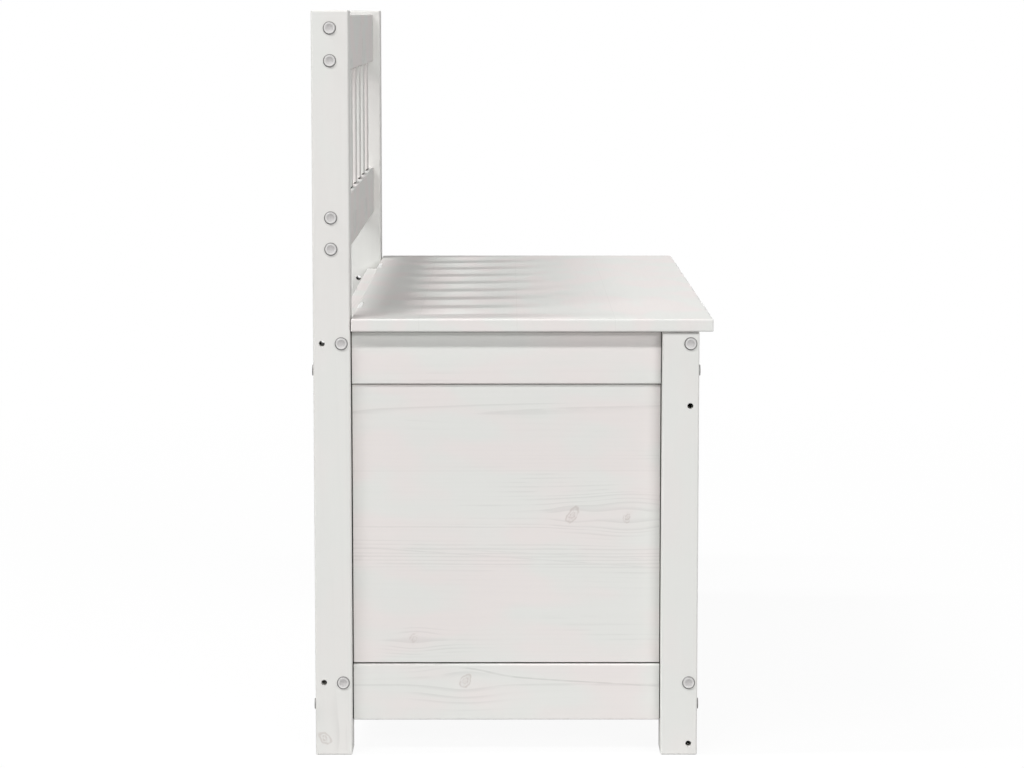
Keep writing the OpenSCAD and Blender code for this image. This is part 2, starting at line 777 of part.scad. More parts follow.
// Cranked leaf: a short upright in the lid's notch and a flange under the lid, with the odd knuckles
module hinge_lid_leaf(side) {
    z_clear = z_pin - knuckle_r - running_gap;
    color(white) difference() {
        translate([side * hinge_x, 0, 0]) difference() {
            union() {
                block([-hinge_length / 2, y_notch, lid_bottom],
                      [hinge_length / 2, y_notch + leaf_thick, z_clear]);
                block([-hinge_length / 2, y_notch - lid_leaf_width, lid_bottom],
                      [hinge_length / 2, y_notch + leaf_thick, lid_bottom + leaf_thick]);
                for (i = [1 : 2 : knuckle_count - 1]) {
                    knuckle(i);
                    block([-hinge_length / 2 + i * knuckle_pitch + running_gap / 2, y_notch, z_clear],
                          [-hinge_length / 2 + (i + 1) * knuckle_pitch - running_gap / 2,
                           y_notch + leaf_thick, z_pin]);
                }
            }
            pin_bore();
        }
        at_lid_leaf_screws(side) screw(hinge_screw_d, lid_screw_length, thread_air);
    }
}

module hinge_pins() {
    color(steel) for (side = [LEFT, RIGHT])
        bore_x(pin_d, side * hinge_x - hinge_length / 2, side * hinge_x + hinge_length / 2, y_pin, z_pin);
}

module hinge_frame_screws() {
    color(steel) for (side = [LEFT, RIGHT])
        at_frame_leaf_screws(side) screw(hinge_screw_d, frame_screw_length);
}

module hinge_lid_screws() {
    color(steel) for (side = [LEFT, RIGHT])
        at_lid_leaf_screws(side) screw(hinge_screw_d, lid_screw_length);
}

// Places of the screws that hold the lid's battens, from below
module at_lid_batten_screws(side) {
    middle = (lid_batten_front + lid_batten_rear) / 2;
    half = (lid_batten_rear - lid_batten_front) / 2 - batten_screw_inset;
    for (i = [0 : short_batten_screws - 1])
        translate([side * lid_batten_x, middle + spread(i, short_batten_screws, half),
                   lid_bottom - lid_batten_thick])
            children();
}

lid_batten_screw = lid_batten_thick + batten_screw_bite;

// Seat lid, with a notch for each hinge in its rear edge and a recess for the flange below
module lid_board() {
    x = x_out + lid_side_overhang;
    color(white) difference() {
        board([-x, y_lid_front, lid_bottom], [x, y_lid_rear, seat_height], rail_round);
        for (side = [LEFT, RIGHT]) {
            translate([side * hinge_x, 0, 0]) {
                block([-notch_length / 2, y_notch, lid_bottom - past],
                      [notch_length / 2, y_lid_rear + past, seat_height + past]);
                block([-notch_length / 2, y_notch - lid_leaf_width - running_gap, lid_bottom - past],
                      [notch_length / 2, y_lid_rear, lid_bottom + leaf_thick]);
            }
            at_lid_leaf_screws(side) screw(hinge_screw_d, lid_screw_length, thread_air);
            at_lid_batten_screws(side) screw(batten_screw_d, lid_batten_screw, thread_air);
        }
    }
}

module lid_batten(side) {
    half = lid_batten_width / 2;
    color(white) difference() {
        board([side * lid_batten_x - half, lid_batten_front, lid_bottom - lid_batten_thick],
              [side * lid_batten_x + half, lid_batten_rear, lid_bottom], rail_round);
        at_lid_batten_screws(side) screw(batten_screw_d, lid_batten_screw, thread_air);
    }
}

module lid_batten_screws() {
    color(steel) for (side = [LEFT, RIGHT])
        at_lid_batten_screws(side) screw(batten_screw_d, lid_batten_screw);
}

back_post(LEFT);  // back_post_left
back_post(RIGHT);  // back_post_right
front_post(LEFT);  // front_post_left
front_post(RIGHT);  // front_post_right
front_top_rail();
front_bottom_rail();
rear_top_rail();
rear_bottom_rail();
side_top_rail(LEFT);  // side_top_rail_left
side_top_rail(RIGHT);  // side_top_rail_right
side_bottom_rail(LEFT);  // side_bottom_rail_left
side_bottom_rail(RIGHT);  // side_bottom_rail_right
front_panel();
rear_panel();
side_panel(LEFT);  // side_panel_left
side_panel(RIGHT);  // side_panel_right
bottom_board();
bottom_batten_front();
bottom_batten_rear();
bottom_batten_side(LEFT);  // bottom_batten_left
bottom_batten_side(RIGHT);  // bottom_batten_right
bottom_batten_screws();
backrest_top_rail();
backrest_lower_rail();
for (i = [1 : slat_count])
    backrest_slat(i);
backrest_bolts();
long_rail_bolts();
side_rail_bolts();
backrest_bolt_caps();
long_rail_bolt_caps();
side_rail_bolt_caps();
backrest_barrel_nuts();
long_rail_barrel_nuts();
side_rail_barrel_nuts();
long_rail_dowels();
side_rail_dowels();
hinge_frame_leaf(LEFT);  // hinge_frame_leaf_left
hinge_frame_leaf(RIGHT);  // hinge_frame_leaf_right
hinge_pins();
hinge_frame_screws();
lid_board();
lid_batten(LEFT);  // lid_batten_left
lid_batten(RIGHT);  // lid_batten_right
lid_batten_screws();
hinge_lid_leaf(LEFT);  // hinge_lid_leaf_left
hinge_lid_leaf(RIGHT);  // hinge_lid_leaf_right
hinge_lid_screws();
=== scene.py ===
from math import cos, pi, radians, sin
from random import Random

import bmesh
import bpy
from bpy.props import FloatProperty, FloatVectorProperty, PointerProperty
from mathutils import Matrix, Vector


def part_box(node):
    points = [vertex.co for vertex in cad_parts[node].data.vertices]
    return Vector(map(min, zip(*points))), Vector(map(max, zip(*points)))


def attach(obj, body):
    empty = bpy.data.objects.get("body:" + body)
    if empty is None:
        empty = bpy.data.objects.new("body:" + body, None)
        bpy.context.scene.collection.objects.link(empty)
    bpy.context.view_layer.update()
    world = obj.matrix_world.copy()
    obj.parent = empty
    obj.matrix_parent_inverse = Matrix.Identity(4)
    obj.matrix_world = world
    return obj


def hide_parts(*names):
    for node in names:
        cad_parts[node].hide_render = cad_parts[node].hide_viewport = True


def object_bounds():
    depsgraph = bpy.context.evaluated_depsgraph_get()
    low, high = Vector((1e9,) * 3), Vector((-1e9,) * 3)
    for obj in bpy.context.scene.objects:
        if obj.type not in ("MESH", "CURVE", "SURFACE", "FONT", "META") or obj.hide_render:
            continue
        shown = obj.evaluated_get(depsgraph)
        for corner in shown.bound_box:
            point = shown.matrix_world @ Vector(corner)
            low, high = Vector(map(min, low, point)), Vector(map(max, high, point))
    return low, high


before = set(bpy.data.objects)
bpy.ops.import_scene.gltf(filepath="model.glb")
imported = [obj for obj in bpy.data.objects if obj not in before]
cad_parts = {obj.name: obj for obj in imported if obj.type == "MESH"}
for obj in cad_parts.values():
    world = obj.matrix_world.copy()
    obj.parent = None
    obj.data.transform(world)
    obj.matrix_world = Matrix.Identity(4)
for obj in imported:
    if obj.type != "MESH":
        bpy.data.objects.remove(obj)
cad_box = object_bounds()

bl_info = {
    "name": "Chest bench finish",
    "version": (1, 0, 0),
    "blender": (4, 5, 0),
    "location": "View3D > Sidebar > Chest bench",
    "description": "Finishes a white lacquered pine chest bench and sets its stage",
    "category": "Object",
}

ALONG = {"X": Vector((1, 0, 0)), "Y": Vector((0, 1, 0)), "Z": Vector((0, 0, 1))}
# Painted shade at the boards' edges, in metres: the walls of the gaps and the grooves get a near-black
# colour for the shadow in them. It reaches this far from the low end, from the high end, from the low
# side and from the high side, and this deep into the board. The panels' tongues reach 7 mm into their
# grooves, and a gap of 1 mm shows beside them
NO_GAP_SHADE = (0.0, 0.0, 0.0, 0.0, 1.0)
RAIL_GAP_SHADE = (0.00098, 0.00125, 0.0, 0.0, 1.0)
PANEL_GAP_SHADE = (0.00798, 0.00825, 0.00860, 0.00798, 1.0)
# Painted shade at the slats' feet, where they stand in the lower rail, and how deep it reaches into them
SLAT_FOOT_SHADE = 0.0018


class BenchWood(bpy.types.PropertyGroup):
    """Sizes of the pine's figure and the strength with which it shows through the lacquer"""

    ring_spacing: FloatProperty(
        name="Ring spacing", description="Distance between two annual rings",
        default=0.0042, min=0.001, max=0.01, unit="LENGTH")
    pith_depth: FloatProperty(
        name="Pith depth", description="Distance from a board's middle to the heart of its tree",
        default=0.034, min=0.01, max=0.2, unit="LENGTH")
    strip_width: FloatProperty(
        name="Strip width", description="Width of the strips that the wide boards are glued from",
        default=0.1005, min=0.03, max=0.2, unit="LENGTH")
    ring_shade: FloatProperty(
        name="Ring shade", description="How much the late wood of a ring darkens the lacquer",
        default=0.085, min=0.0, max=1.0, subtype="FACTOR")
    fibre_shade: FloatProperty(
        name="Fibre shade", description="How much the fibres darken the lacquer",
        default=0.03, min=0.0, max=1.0, subtype="FACTOR")
    knot_shade: FloatProperty(
        name="Knot shade", description="How much a knot's colour shows through the lacquer",
        default=0.30, min=0.0, max=1.0, subtype="FACTOR")
    relief: FloatProperty(
        name="Relief", description="Height of the late wood above the early wood under the lacquer",
        default=0.00004, min=0.0, max=0.001, unit="LENGTH", precision=6)


class BenchColours(bpy.types.PropertyGroup):
    """Colours of the finishes"""

    lacquer_cool: FloatVectorProperty(
        name="Cool lacquer", description="White lacquer where the wood under it is pale",
        default=(0.748, 0.750, 0.726), min=0.0, max=1.0, size=3, subtype="COLOR")
    lacquer_warm: FloatVectorProperty(
        name="Warm lacquer", description="White lacquer where the wood under it is reddish",
        default=(0.776, 0.736, 0.720), min=0.0, max=1.0, size=3, subtype="COLOR")
    knot: FloatVectorProperty(
        name="Knot", description="Colour of a knot under the lacquer",
        default=(0.42, 0.34, 0.31), min=0.0, max=1.0, size=3, subtype="COLOR")
    # Painted shade: this near-black colour is painted into the gaps, the grooves, the slats' feet and,
    # at less than half strength, the seam under the lid, for the shadow in them
    joint: FloatVectorProperty(
        name="Joint", description="Wood in the grooves and the gaps, which the lacquer does not reach",
        default=(0.045, 0.040, 0.036), min=0.0, max=1.0, size=3, subtype="COLOR")
    cap_rim: FloatVectorProperty(
        name="Cap rim", description="Grey-white plastic of the bolt caps",
        default=(0.68, 0.67, 0.66), min=0.0, max=1.0, size=3, subtype="COLOR")
    cap_dish: FloatVectorProperty(
        name="Cap dish", description="Duller plastic inside the rim of the bolt caps",
        default=(0.56, 0.545, 0.54), min=0.0, max=1.0, size=3, subtype="COLOR")
    # Painted shade: the dark grey of the caps' flange and wall stands for the shadowed ring round each
    # cap and its shaded side
    cap_foot_shade: FloatVectorProperty(
        name="Cap foot shade", description="Dark flange and wall of the bolt caps",
        default=(0.21, 0.205, 0.20), min=0.0, max=1.0, size=3, subtype="COLOR")
    white_steel: FloatVectorProperty(
        name="White steel", description="Greyish white powder coat of the hinges",
        default=(0.62, 0.62, 0.61), min=0.0, max=1.0, size=3, subtype="COLOR")
    zinc: FloatVectorProperty(
        name="Zinc", description="Zinc plating of the bolts, nuts, pins and screws",
        default=(0.60, 0.61, 0.62), min=0.0, max=1.0, size=3, subtype="COLOR")
    beech: FloatVectorProperty(
        name="Beech", description="Bare beech of the dowels",
        default=(0.56, 0.37, 0.20), min=0.0, max=1.0, size=3, subtype="COLOR")


class BenchStage(bpy.types.PropertyGroup):
    """Light, floor and camera"""

    back_light: FloatProperty(
        name="Back light", description="Brightness that the lamp behind the backrest gives a white face",
        default=0.41, min=0.0, max=2.0)
    rear_side_light: FloatProperty(
        name="Rear side light",
        description="Brightness that the high lamp at the bench's end, to its rear, gives a white face",
        default=0.43, min=0.0, max=2.0)
    side_light: FloatProperty(
        name="Side light",
        description="Brightness that the high lamp at the bench's end, to its front, gives a white face",
        default=0.30, min=0.0, max=2.0)
    low_light: FloatProperty(
        name="Low light",
        description="Brightness that the low lamp at the bench's end gives a white face",
        default=0.35, min=0.0, max=2.0)
    sky_light: FloatProperty(
        name="Sky light", description="Brightness of the plain surroundings",
        default=0.03, min=0.0, max=2.0)
    floor_colour: FloatVectorProperty(
        name="Floor", description="Colour of the floor",
        default=(0.61, 0.61, 0.61), min=0.0, max=1.0, size=3, subtype="COLOR")
    floor_shadow: FloatProperty(
        name="Floor shadow", description="How much of the bench's shadow shows on the floor",
        default=0.06, min=0.0, max=1.0, subtype="FACTOR")
    camera_distance: FloatProperty(
        name="Camera distance", description="Distance from the camera to the bench's middle",
        default=3.419, min=1.0, max=10.0, unit="LENGTH")
    camera_side: FloatProperty(
        name="Camera side", description="Distance of the camera behind the bench's middle line",
        default=0.005, min=-1.0, max=1.0, unit="LENGTH")
    camera_height: FloatProperty(
        name="Camera height", description="Height of the camera above the floor",
        default=0.768, min=0.0, max=3.0, unit="LENGTH")
    camera_tilt: FloatProperty(
        name="Camera tilt", description="How far the camera looks down",
        default=0.111, min=-pi / 2, max=pi / 2, unit="ROTATION")
    camera_turn: FloatProperty(
        name="Camera turn", description="How far the camera turns to the bench's front",
        default=0.0016, min=-pi, max=pi, unit="ROTATION")
    camera_lens: FloatProperty(
        name="Camera lens", description="Focal length in millimetres",
        default=104.4, min=20.0, max=300.0)
    camera_shift: FloatProperty(
        name="Camera shift", description="Vertical shift of the picture as a share of its width",
        default=-0.04, min=-0.1, max=0.1)


# Building blocks for node trees

def add(tree, kind, inputs=None, **settings):
    """Add a shader node, set its properties and fill its inputs with values or other nodes' outputs"""
    made = tree.nodes.new("ShaderNode" + kind)
    for name, value in settings.items():
        setattr(made, name, value)
    for key, value in (inputs or {}).items():
        if isinstance(value, bpy.types.NodeSocket):
            tree.links.new(value, made.inputs[key])
        else:
            made.inputs[key].default_value = value
    return made


def maths(tree, operation, *values, clamp=False):
    """Result of one operation on numbers"""
    return add(tree, "Math", dict(enumerate(values)), operation=operation, use_clamp=clamp).outputs[0]


def times(tree, first, second, clamp=False):
    """Product of two numbers"""
    return maths(tree, "MULTIPLY", first, second, clamp=clamp)


def times_plus(tree, first, second, third):
    """Product of two numbers plus a third"""
    return maths(tree, "MULTIPLY_ADD", first, second, third)


def vectors(tree, operation, *values):
    """Result of one operation on vectors"""
    return add(tree, "VectorMath", dict(enumerate(values)), operation=operation).outputs[0]


def length(tree, vector):
    """Length of a vector"""
    return add(tree, "VectorMath", {0: vector}, operation="LENGTH").outputs["Value"]


def scaled(tree, vector, factor):
    """Vector times a number"""
    return add(tree, "VectorMath", {0: vector, "Scale": factor}, operation="SCALE").outputs[0]


def step(tree, value, low, high):
    """Smooth rise from 0 at low to 1 at high"""
    ends = {"Value": value, "From Min": low, "From Max": high}
    return add(tree, "MapRange", ends, interpolation_type="SMOOTHSTEP").outputs["Result"]


def fall(tree, value, low, high):
    """Smooth fall from 1 at low to 0 at high"""
    return maths(tree, "SUBTRACT", 1.0, step(tree, value, low, high))


def ridge(tree, value, foot, crest, edge, end):
    """Smooth rise from foot to crest and smooth fall from edge to end"""
    return times(tree, step(tree, value, foot, crest), fall(tree, value, edge, end))


def noise(tree, vector, stretch, detail=2.0, output="Fac"):
    """Cloudy noise with its own number of clouds per metre along each axis"""
    place = vectors(tree, "MULTIPLY", vector, stretch)
    return add(tree, "TexNoise", {"Vector": place, "Scale": 1.0, "Detail": detail}).outputs[output]


def centred(tree, value):
    """Noise from 0 to 1 moved to lie about zero"""
    return maths(tree, "SUBTRACT", value, 0.5)


def mixed(tree, factor, first, second, blend="MIX"):
    """Colour between two others"""
    made = add(tree, "Mix", {0: factor, 6: first, 7: second}, data_type="RGBA", blend_type=blend)
    return made.outputs[2]


def new_group(name, inputs, outputs):
    """Start a node group. Its inputs and outputs are (name, kind of socket) pairs"""
    tree = bpy.data.node_groups.new(name, "ShaderNodeTree")
    for direction, sockets in (("INPUT", inputs), ("OUTPUT", outputs)):
        for label, kind in sockets:
            tree.interface.new_socket(label, in_out=direction, socket_type="NodeSocket" + kind)
    given = tree.nodes.new("NodeGroupInput").outputs
    return tree, given


def close_group(tree, results):
    """Finish a node group with the sockets that feed its outputs"""
    end = tree.nodes.new("NodeGroupOutput")
    for label, socket in results.items():
        tree.links.new(socket, end.inputs[label])
    return tree


# Node groups. Their vectors are in metres, with X along the grain and Z through the board

def glued_strips_group():
    """Strips that a wide board is glued from, each with its own piece of wood"""
    tree, given = new_group(
        "glued_strips",
        [("Vector", "Vector"), ("Strip Width", "Float"), ("Seed", "Float")],
        [("Along", "Float"), ("Across", "Float"), ("Depth", "Float"), ("Tone", "Float"),
         ("Joint", "Float")])
    length_shift, depth_shift, joint_width = 6.0, 0.012, 0.0006
    place = add(tree, "SeparateXYZ", {0: given["Vector"]}).outputs
    rows = maths(tree, "DIVIDE", place["Y"], given["Strip Width"])
    row = maths(tree, "FLOOR", rows)
    across = maths(tree, "FRACT", rows)
    number = maths(tree, "ADD", row, given["Seed"])
    draw = add(tree, "TexWhiteNoise", {"W": number}, noise_dimensions="1D")
    drawn = add(tree, "SeparateColor", {0: draw.outputs["Color"]}).outputs
    edge = maths(tree, "SUBTRACT", 0.5, maths(tree, "ABSOLUTE", centred(tree, across)))
    gap = times(tree, edge, given["Strip Width"])
    return close_group(tree, {
        "Along": times_plus(tree, drawn[0], length_shift, place["X"]),
        "Across": times(tree, centred(tree, across), given["Strip Width"]),
        "Depth": times_plus(tree, centred(tree, drawn[1]), depth_shift, place["Z"]),
        "Tone": drawn[2],
        "Joint": fall(tree, gap, 0.0, joint_width)})


def knot_group():
    """A knot through the board, and how far it bends the grain aside"""
    tree, given = new_group(
        "knot",
        [("Place", "Vector"), ("Centre", "Vector"), ("Radius", "Float"), ("Swirl", "Float"),
         ("Strength", "Float"), ("Lean", "Float")],
        [("Bend", "Float"), ("Core", "Float"), ("Rim", "Float"), ("Halo", "Float")])
    pull, stretch, halo_reach = 0.75, 0.5, 1.7
    flatness, raggedness, inner_share = 0.8, 1.1, 0.6
    outline_clouds = (110.0, 130.0, 60.0)
    fleck_clouds, break_clouds = (420.0, 420.0, 60.0), (90.0, 90.0, 30.0)
    off = vectors(tree, "SUBTRACT", given["Place"], given["Centre"])
    part = add(tree, "SeparateXYZ", {0: off}).outputs
    leaning = add(tree, "CombineXYZ", {
        "X": times_plus(tree, part["Y"], given["Lean"], part["X"]),
        "Y": times(tree, part["Y"], flatness)}).outputs[0]
    wobble = noise(tree, given["Place"], outline_clouds)
    share = maths(tree, "DIVIDE", length(tree, leaning), given["Radius"])
    share = times_plus(tree, centred(tree, wobble), raggedness, share)
    flecks = noise(tree, given["Place"], fleck_clouds)
    core = times(tree, fall(tree, share, 0.5, 1.0), step(tree, flecks, 0.3, 0.75))
    breaks = noise(tree, given["Place"], break_clouds, 0.0)
    breaks = step(tree, breaks, 0.4, 0.55)
    outer = times(tree, ridge(tree, share, 0.72, 0.92, 0.98, 1.2), breaks)
    inner = times(tree, ridge(tree, share, 0.3, 0.42, 0.46, 0.6), inner_share)
    rim = maths(tree, "MAXIMUM", outer, inner)
    wide = length(tree, vectors(tree, "MULTIPLY", off, (stretch, 1.0, 0.0)))
    wide = maths(tree, "DIVIDE", wide, given["Swirl"])
    wide = times(tree, wide, wide)
    bell = maths(tree, "EXPONENT", times(tree, wide, -1.0))
    return close_group(tree, {
        "Bend": times(tree, part["Y"], times(tree, bell, -pull)),
        "Core": times(tree, core, given["Strength"]),
        "Rim": times(tree, rim, given["Strength"]),
        "Halo": maths(tree, "EXPONENT", times(tree, wide, -1.0 / halo_reach))})


def annual_rings_group():
    """Annual rings round the heart of the tree, and the fibres between them"""
    tree, given = new_group(
        "annual_rings",
        [("Vector", "Vector"), ("Place", "Vector"), ("Ring Spacing", "Float"), ("Pith", "Vector"),
         ("Slant", "Float"), ("Halo", "Float")],
        [("Rings", "Float"), ("Fibres", "Float"), ("Warmth", "Float")])
    half = (0.5, 0.5, 0.5)
    sway_size, sway_clouds = 0.010, (1.6, 7.0, 7.0)
    ripple_size, ripple_clouds = 0.0009, (14.0, 70.0, 70.0)
    unevenness, uneven_rate = 1.6, 0.35
    patch_clouds, patch_lift = (4.0, 16.0, 16.0), 0.35
    break_clouds, break_lift = (24.0, 160.0, 160.0), 0.2
    least_shown = 0.07
    fine_fibres, coarse_fibres = (26.0, 1100.0, 1100.0), (9.0, 260.0, 260.0)
    warm_clouds = (11.0, 24.0, 24.0)
    moved = given["Vector"]
    for clouds, size in ((sway_clouds, sway_size), (ripple_clouds, ripple_size)):
        shift = noise(tree, given["Vector"], clouds, 1.0, "Color")
        shift = scaled(tree, vectors(tree, "SUBTRACT", shift, half), size)
        moved = vectors(tree, "ADD", moved, shift)
    place = add(tree, "SeparateXYZ", {0: vectors(tree, "SUBTRACT", moved, given["Pith"])}).outputs
    lean = times(tree, place["X"], given["Slant"])
    section = add(tree, "CombineXYZ", {"Y": place["Y"], "Z": maths(tree, "SUBTRACT", place["Z"], lean)})
    rings = maths(tree, "DIVIDE", length(tree, section.outputs[0]), given["Ring Spacing"])
    uneven = add(tree, "TexNoise", {"W": rings, "Scale": uneven_rate, "Detail": 1.0},
                 noise_dimensions="1D")
    rings = times_plus(tree, uneven.outputs["Fac"], unevenness, rings)
    late = ridge(tree, maths(tree, "FRACT", rings), 0.45, 0.90, 0.91, 1.0)
    patches = noise(tree, given["Vector"], patch_clouds)
    patches = step(tree, times_plus(tree, given["Halo"], patch_lift, patches), 0.54, 0.74)
    breaks = noise(tree, given["Vector"], break_clouds, 1.0)
    breaks = step(tree, times_plus(tree, given["Halo"], break_lift, breaks), 0.38, 0.62)
    shown = times(tree, patches, breaks)
    shown = times_plus(tree, shown, 1.0 - least_shown, least_shown)
    fine = noise(tree, moved, fine_fibres)
    coarse = noise(tree, moved, coarse_fibres)
    warmth = noise(tree, given["Place"], warm_clouds, 1.5)
    return close_group(tree, {
        "Rings": times(tree, late, shown),
        "Fibres": times(tree, maths(tree, "ADD", fine, coarse), 0.5),
        "Warmth": step(tree, warmth, 0.38, 0.62)})


def white_lacquer_group():
    """Thin white lacquer over pine, which lets rings, fibres and knots show faintly"""
    tree, given = new_group(
        "white_lacquer",
        [("Vector", "Vector"), ("Rings", "Float"), ("Fibres", "Float"), ("Warmth", "Float"),
         ("Tone", "Float"), ("Joint", "Float"), ("Core", "Float"), ("Rim", "Float"), ("Gap", "Float"),
         ("Cool Colour", "Color"), ("Warm Colour", "Color"), ("Knot Colour", "Color"),
         ("Gap Shade Colour", "Color"),
         ("Ring Shade", "Float"), ("Fibre Shade", "Float"), ("Knot Shade", "Float"),
         ("Relief", "Float")],
        [("Colour", "Color"), ("Roughness", "Float"), ("Height", "Float")])
    joint_shade, tone_shade, rim_share = 0.05, 0.012, 1.1
    fibre_height, brush_height, rim_height, joint_height = 0.5, 0.15, 2.0, -0.8
    brush_clouds = (60.0, 420.0, 420.0)
    plain_rough, fibre_rough, ring_rough = 0.50, 0.12, -0.06
    dark_rings = times(tree, given["Rings"], given["Ring Shade"])
    dark_fibres = times(tree, centred(tree, given["Fibres"]), given["Fibre Shade"])
    dark = maths(tree, "ADD", dark_rings, dark_fibres)
    dark = times_plus(tree, given["Joint"], joint_shade, dark)
    dark = times_plus(tree, centred(tree, given["Tone"]), tone_shade, dark)
    light = maths(tree, "SUBTRACT", 1.0, dark)
    colour = mixed(tree, given["Warmth"], given["Cool Colour"], given["Warm Colour"])
    light = add(tree, "CombineColor", {0: light, 1: light, 2: light}).outputs[0]
    colour = mixed(tree, 1.0, colour, light, "MULTIPLY")
    knot = times_plus(tree, given["Rim"], rim_share, given["Core"])
    knot = times(tree, knot, given["Knot Shade"], clamp=True)
    colour = mixed(tree, knot, colour, given["Knot Colour"])
    # Painted shade: the near-black gap colour is mixed in by the gap mask, for the shadow in the gaps,
    # the grooves, the slats' feet and the seam under the lid
    colour = mixed(tree, given["Gap"], colour, given["Gap Shade Colour"])
    brush = noise(tree, given["Vector"], brush_clouds)
    height = times_plus(tree, given["Fibres"], fibre_height, given["Rings"])
    height = times_plus(tree, brush, brush_height, height)
    height = times_plus(tree, given["Rim"], rim_height, height)
    height = times_plus(tree, given["Joint"], joint_height, height)
    rough = times_plus(tree, given["Fibres"], fibre_rough, plain_rough)
    return close_group(tree, {
        "Colour": colour,
        "Roughness": times_plus(tree, given["Rings"], ring_rough, rough),
        "Height": times(tree, height, given["Relief"])})


def mottle_group():
    """Fine mottle in the colour, the gloss and the surface of a plain finish"""
    tree, given = new_group(
        "mottle",
        [("Vector", "Vector"), ("Grain Size", "Float"), ("Dark Colour", "Color"),
         ("Light Colour", "Color"), ("Roughness", "Float"), ("Depth", "Float")],
        [("Colour", "Color"), ("Roughness", "Float"), ("Height", "Float")])
    cloud_rate, grain_share, rough_range = 0.12, 0.6, 0.15
    place = scaled(tree, given["Vector"], maths(tree, "DIVIDE", 1.0, given["Grain Size"]))
    grain = noise(tree, place, (1.0, 1.0, 1.0), 3.0)
    cloud = noise(tree, place, (cloud_rate,) * 3)
    cloud = times(tree, cloud, 1.0 - grain_share)
    both = times_plus(tree, grain, grain_share, cloud)
    tint = mixed(tree, step(tree, both, 0.35, 0.65), given["Dark Colour"], given["Light Colour"])
    return close_group(tree, {
        "Colour": tint,
        "Roughness": times_plus(tree, centred(tree, grain), rough_range, given["Roughness"]),
        "Height": times(tree, grain, given["Depth"])})


def use_group(tree, name, inputs):
    """Outputs of a node group with these inputs. The group is built at its first use"""
    makers = {
        "glued_strips": glued_strips_group,
        "knot": knot_group,
        "annual_rings": annual_rings_group,
        "white_lacquer": white_lacquer_group,
        "mottle": mottle_group,
    }
    group = bpy.data.node_groups.get(name) or makers[name]()
    return add(tree, "Group", inputs, node_tree=group).outputs


# Materials

def empty_tree(owner):
    """Empty node tree of a material or a world"""
    owner.use_nodes = True
    owner.node_tree.nodes.clear()
    return owner.node_tree


def new_material(name, **constants):
    """Start a material whose shader has these constant inputs. Returns it, its tree and its shader"""
    material = bpy.data.materials.new(name)
    tree = empty_tree(material)
    inputs = {key.replace("_", " "): value for key, value in constants.items()}
    shader = add(tree, "BsdfPrincipled", inputs)
    add(tree, "OutputMaterial", {"Surface": shader.outputs[0]})
    return material, tree, shader


def finish_surface(tree, shader, colour, roughness, height):
    """Feed a shader's colour and roughness, and its normal from a height in metres"""
    tree.links.new(colour, shader.inputs["Base Color"])
    tree.links.new(roughness, shader.inputs["Roughness"])
    bump = add(tree, "Bump", {"Height": height, "Distance": 1.0, "Strength": 1.0})
    tree.links.new(bump.outputs[0], shader.inputs["Normal"])


def grain_turn(grain, facing):
    """Turn that takes the axis of the grain to X and the axis through the board to Z"""
    along, through = ALONG[grain], ALONG[facing]
    return Matrix((along, through.cross(along), through))


def board_axes(node, grain, facing=None):
    """Turn of a board's grain and thickness to X and Z, its middle and its half size"""
    low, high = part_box(node)
    size = high - low
    if facing is None:
        facing = min((axis for axis in ALONG if axis != grain), key=lambda axis: size["XYZ".index(axis)])
    turn = grain_turn(grain, facing)
    return turn, (low + high) / 2, Vector(map(abs, turn @ (size / 2)))


def random_knots(half, seed, spacing):
    """Knots at seeded places in a board, about one to each length of spacing"""
    margin, side_reach, most_lean = 0.2, 0.7, 0.6
    widest_branch, least_radius, least_bend = 0.04, 0.0015, 0.006
    draw = Random(seed)
    count = int(2 * half.x / spacing + draw.random())
    knots = []
    for index in range(count):
        x = -half.x + 2 * half.x * (index + margin + (1 - 2 * margin) * draw.random()) / count
        y = half.y * draw.uniform(-side_reach, side_reach)
        radius = draw.uniform(0.08, 0.2) * min(2 * half.y, widest_branch) + least_radius
        strength, lean = draw.uniform(0.5, 1.0), draw.uniform(-most_lean, most_lean)
        knots.append((x, y, radius, 2 * radius + least_bend, strength, lean))
    return knots


def painted_gap_shade_mask(tree, place, half, gaps):
    """1 where a board gets painted shade: beside its gaps and in its grooves, where their shadow falls
    """
    part = add(tree, "SeparateXYZ", {0: place}).outputs
    low_end, high_end, low_side, high_side, depth = gaps
    mask = 0.0
    for axis, edge, low, high in (("X", half.x, low_end, high_end), ("Y", half.y, low_side, high_side)):
        if low > 0:
            mask = maths(tree, "MAXIMUM", mask, maths(tree, "LESS_THAN", part[axis], low - edge))
        if high > 0:
            mask = maths(tree, "MAXIMUM", mask, maths(tree, "GREATER_THAN", part[axis], edge - high))
    return times(tree, mask, maths(tree, "LESS_THAN", part["Z"], depth - half.z))


def seam_mask(tree, place, half, seam):
    """Painted shade in the narrow seam under the lid, on one face only, for the shadow under the lid's
    edge.
    seam is the axis of the board that points up, and the face's side of the board, -1 or 1"""
    height, skin, strength = 0.0018, 0.0004, 0.45
    axis, side = seam
    part = add(tree, "SeparateXYZ", {0: place}).outputs
    high = maths(tree, "GREATER_THAN", part[axis], half["XYZ".index(axis)] - height)
    outer = maths(tree, "GREATER_THAN", times(tree, part["Z"], side), half.z - skin)
    return times(tree, times(tree, high, outer), strength)


def band_mask(tree, place, bands):
    """1 in bands along the grain, each (across, half width, slope), falling off beside them"""
    full, none = 0.5, 1.3
    part = add(tree, "SeparateXYZ", {0: place}).outputs
    mask = 0.0
    for across, half_width, slope in bands:
        off = times_plus(tree, part["X"], -slope, maths(tree, "SUBTRACT", part["Y"], across))
        away = maths(tree, "DIVIDE", maths(tree, "ABSOLUTE", off), half_width)
        mask = maths(tree, "MAXIMUM", mask, fall(tree, away, full, none))
    return mask


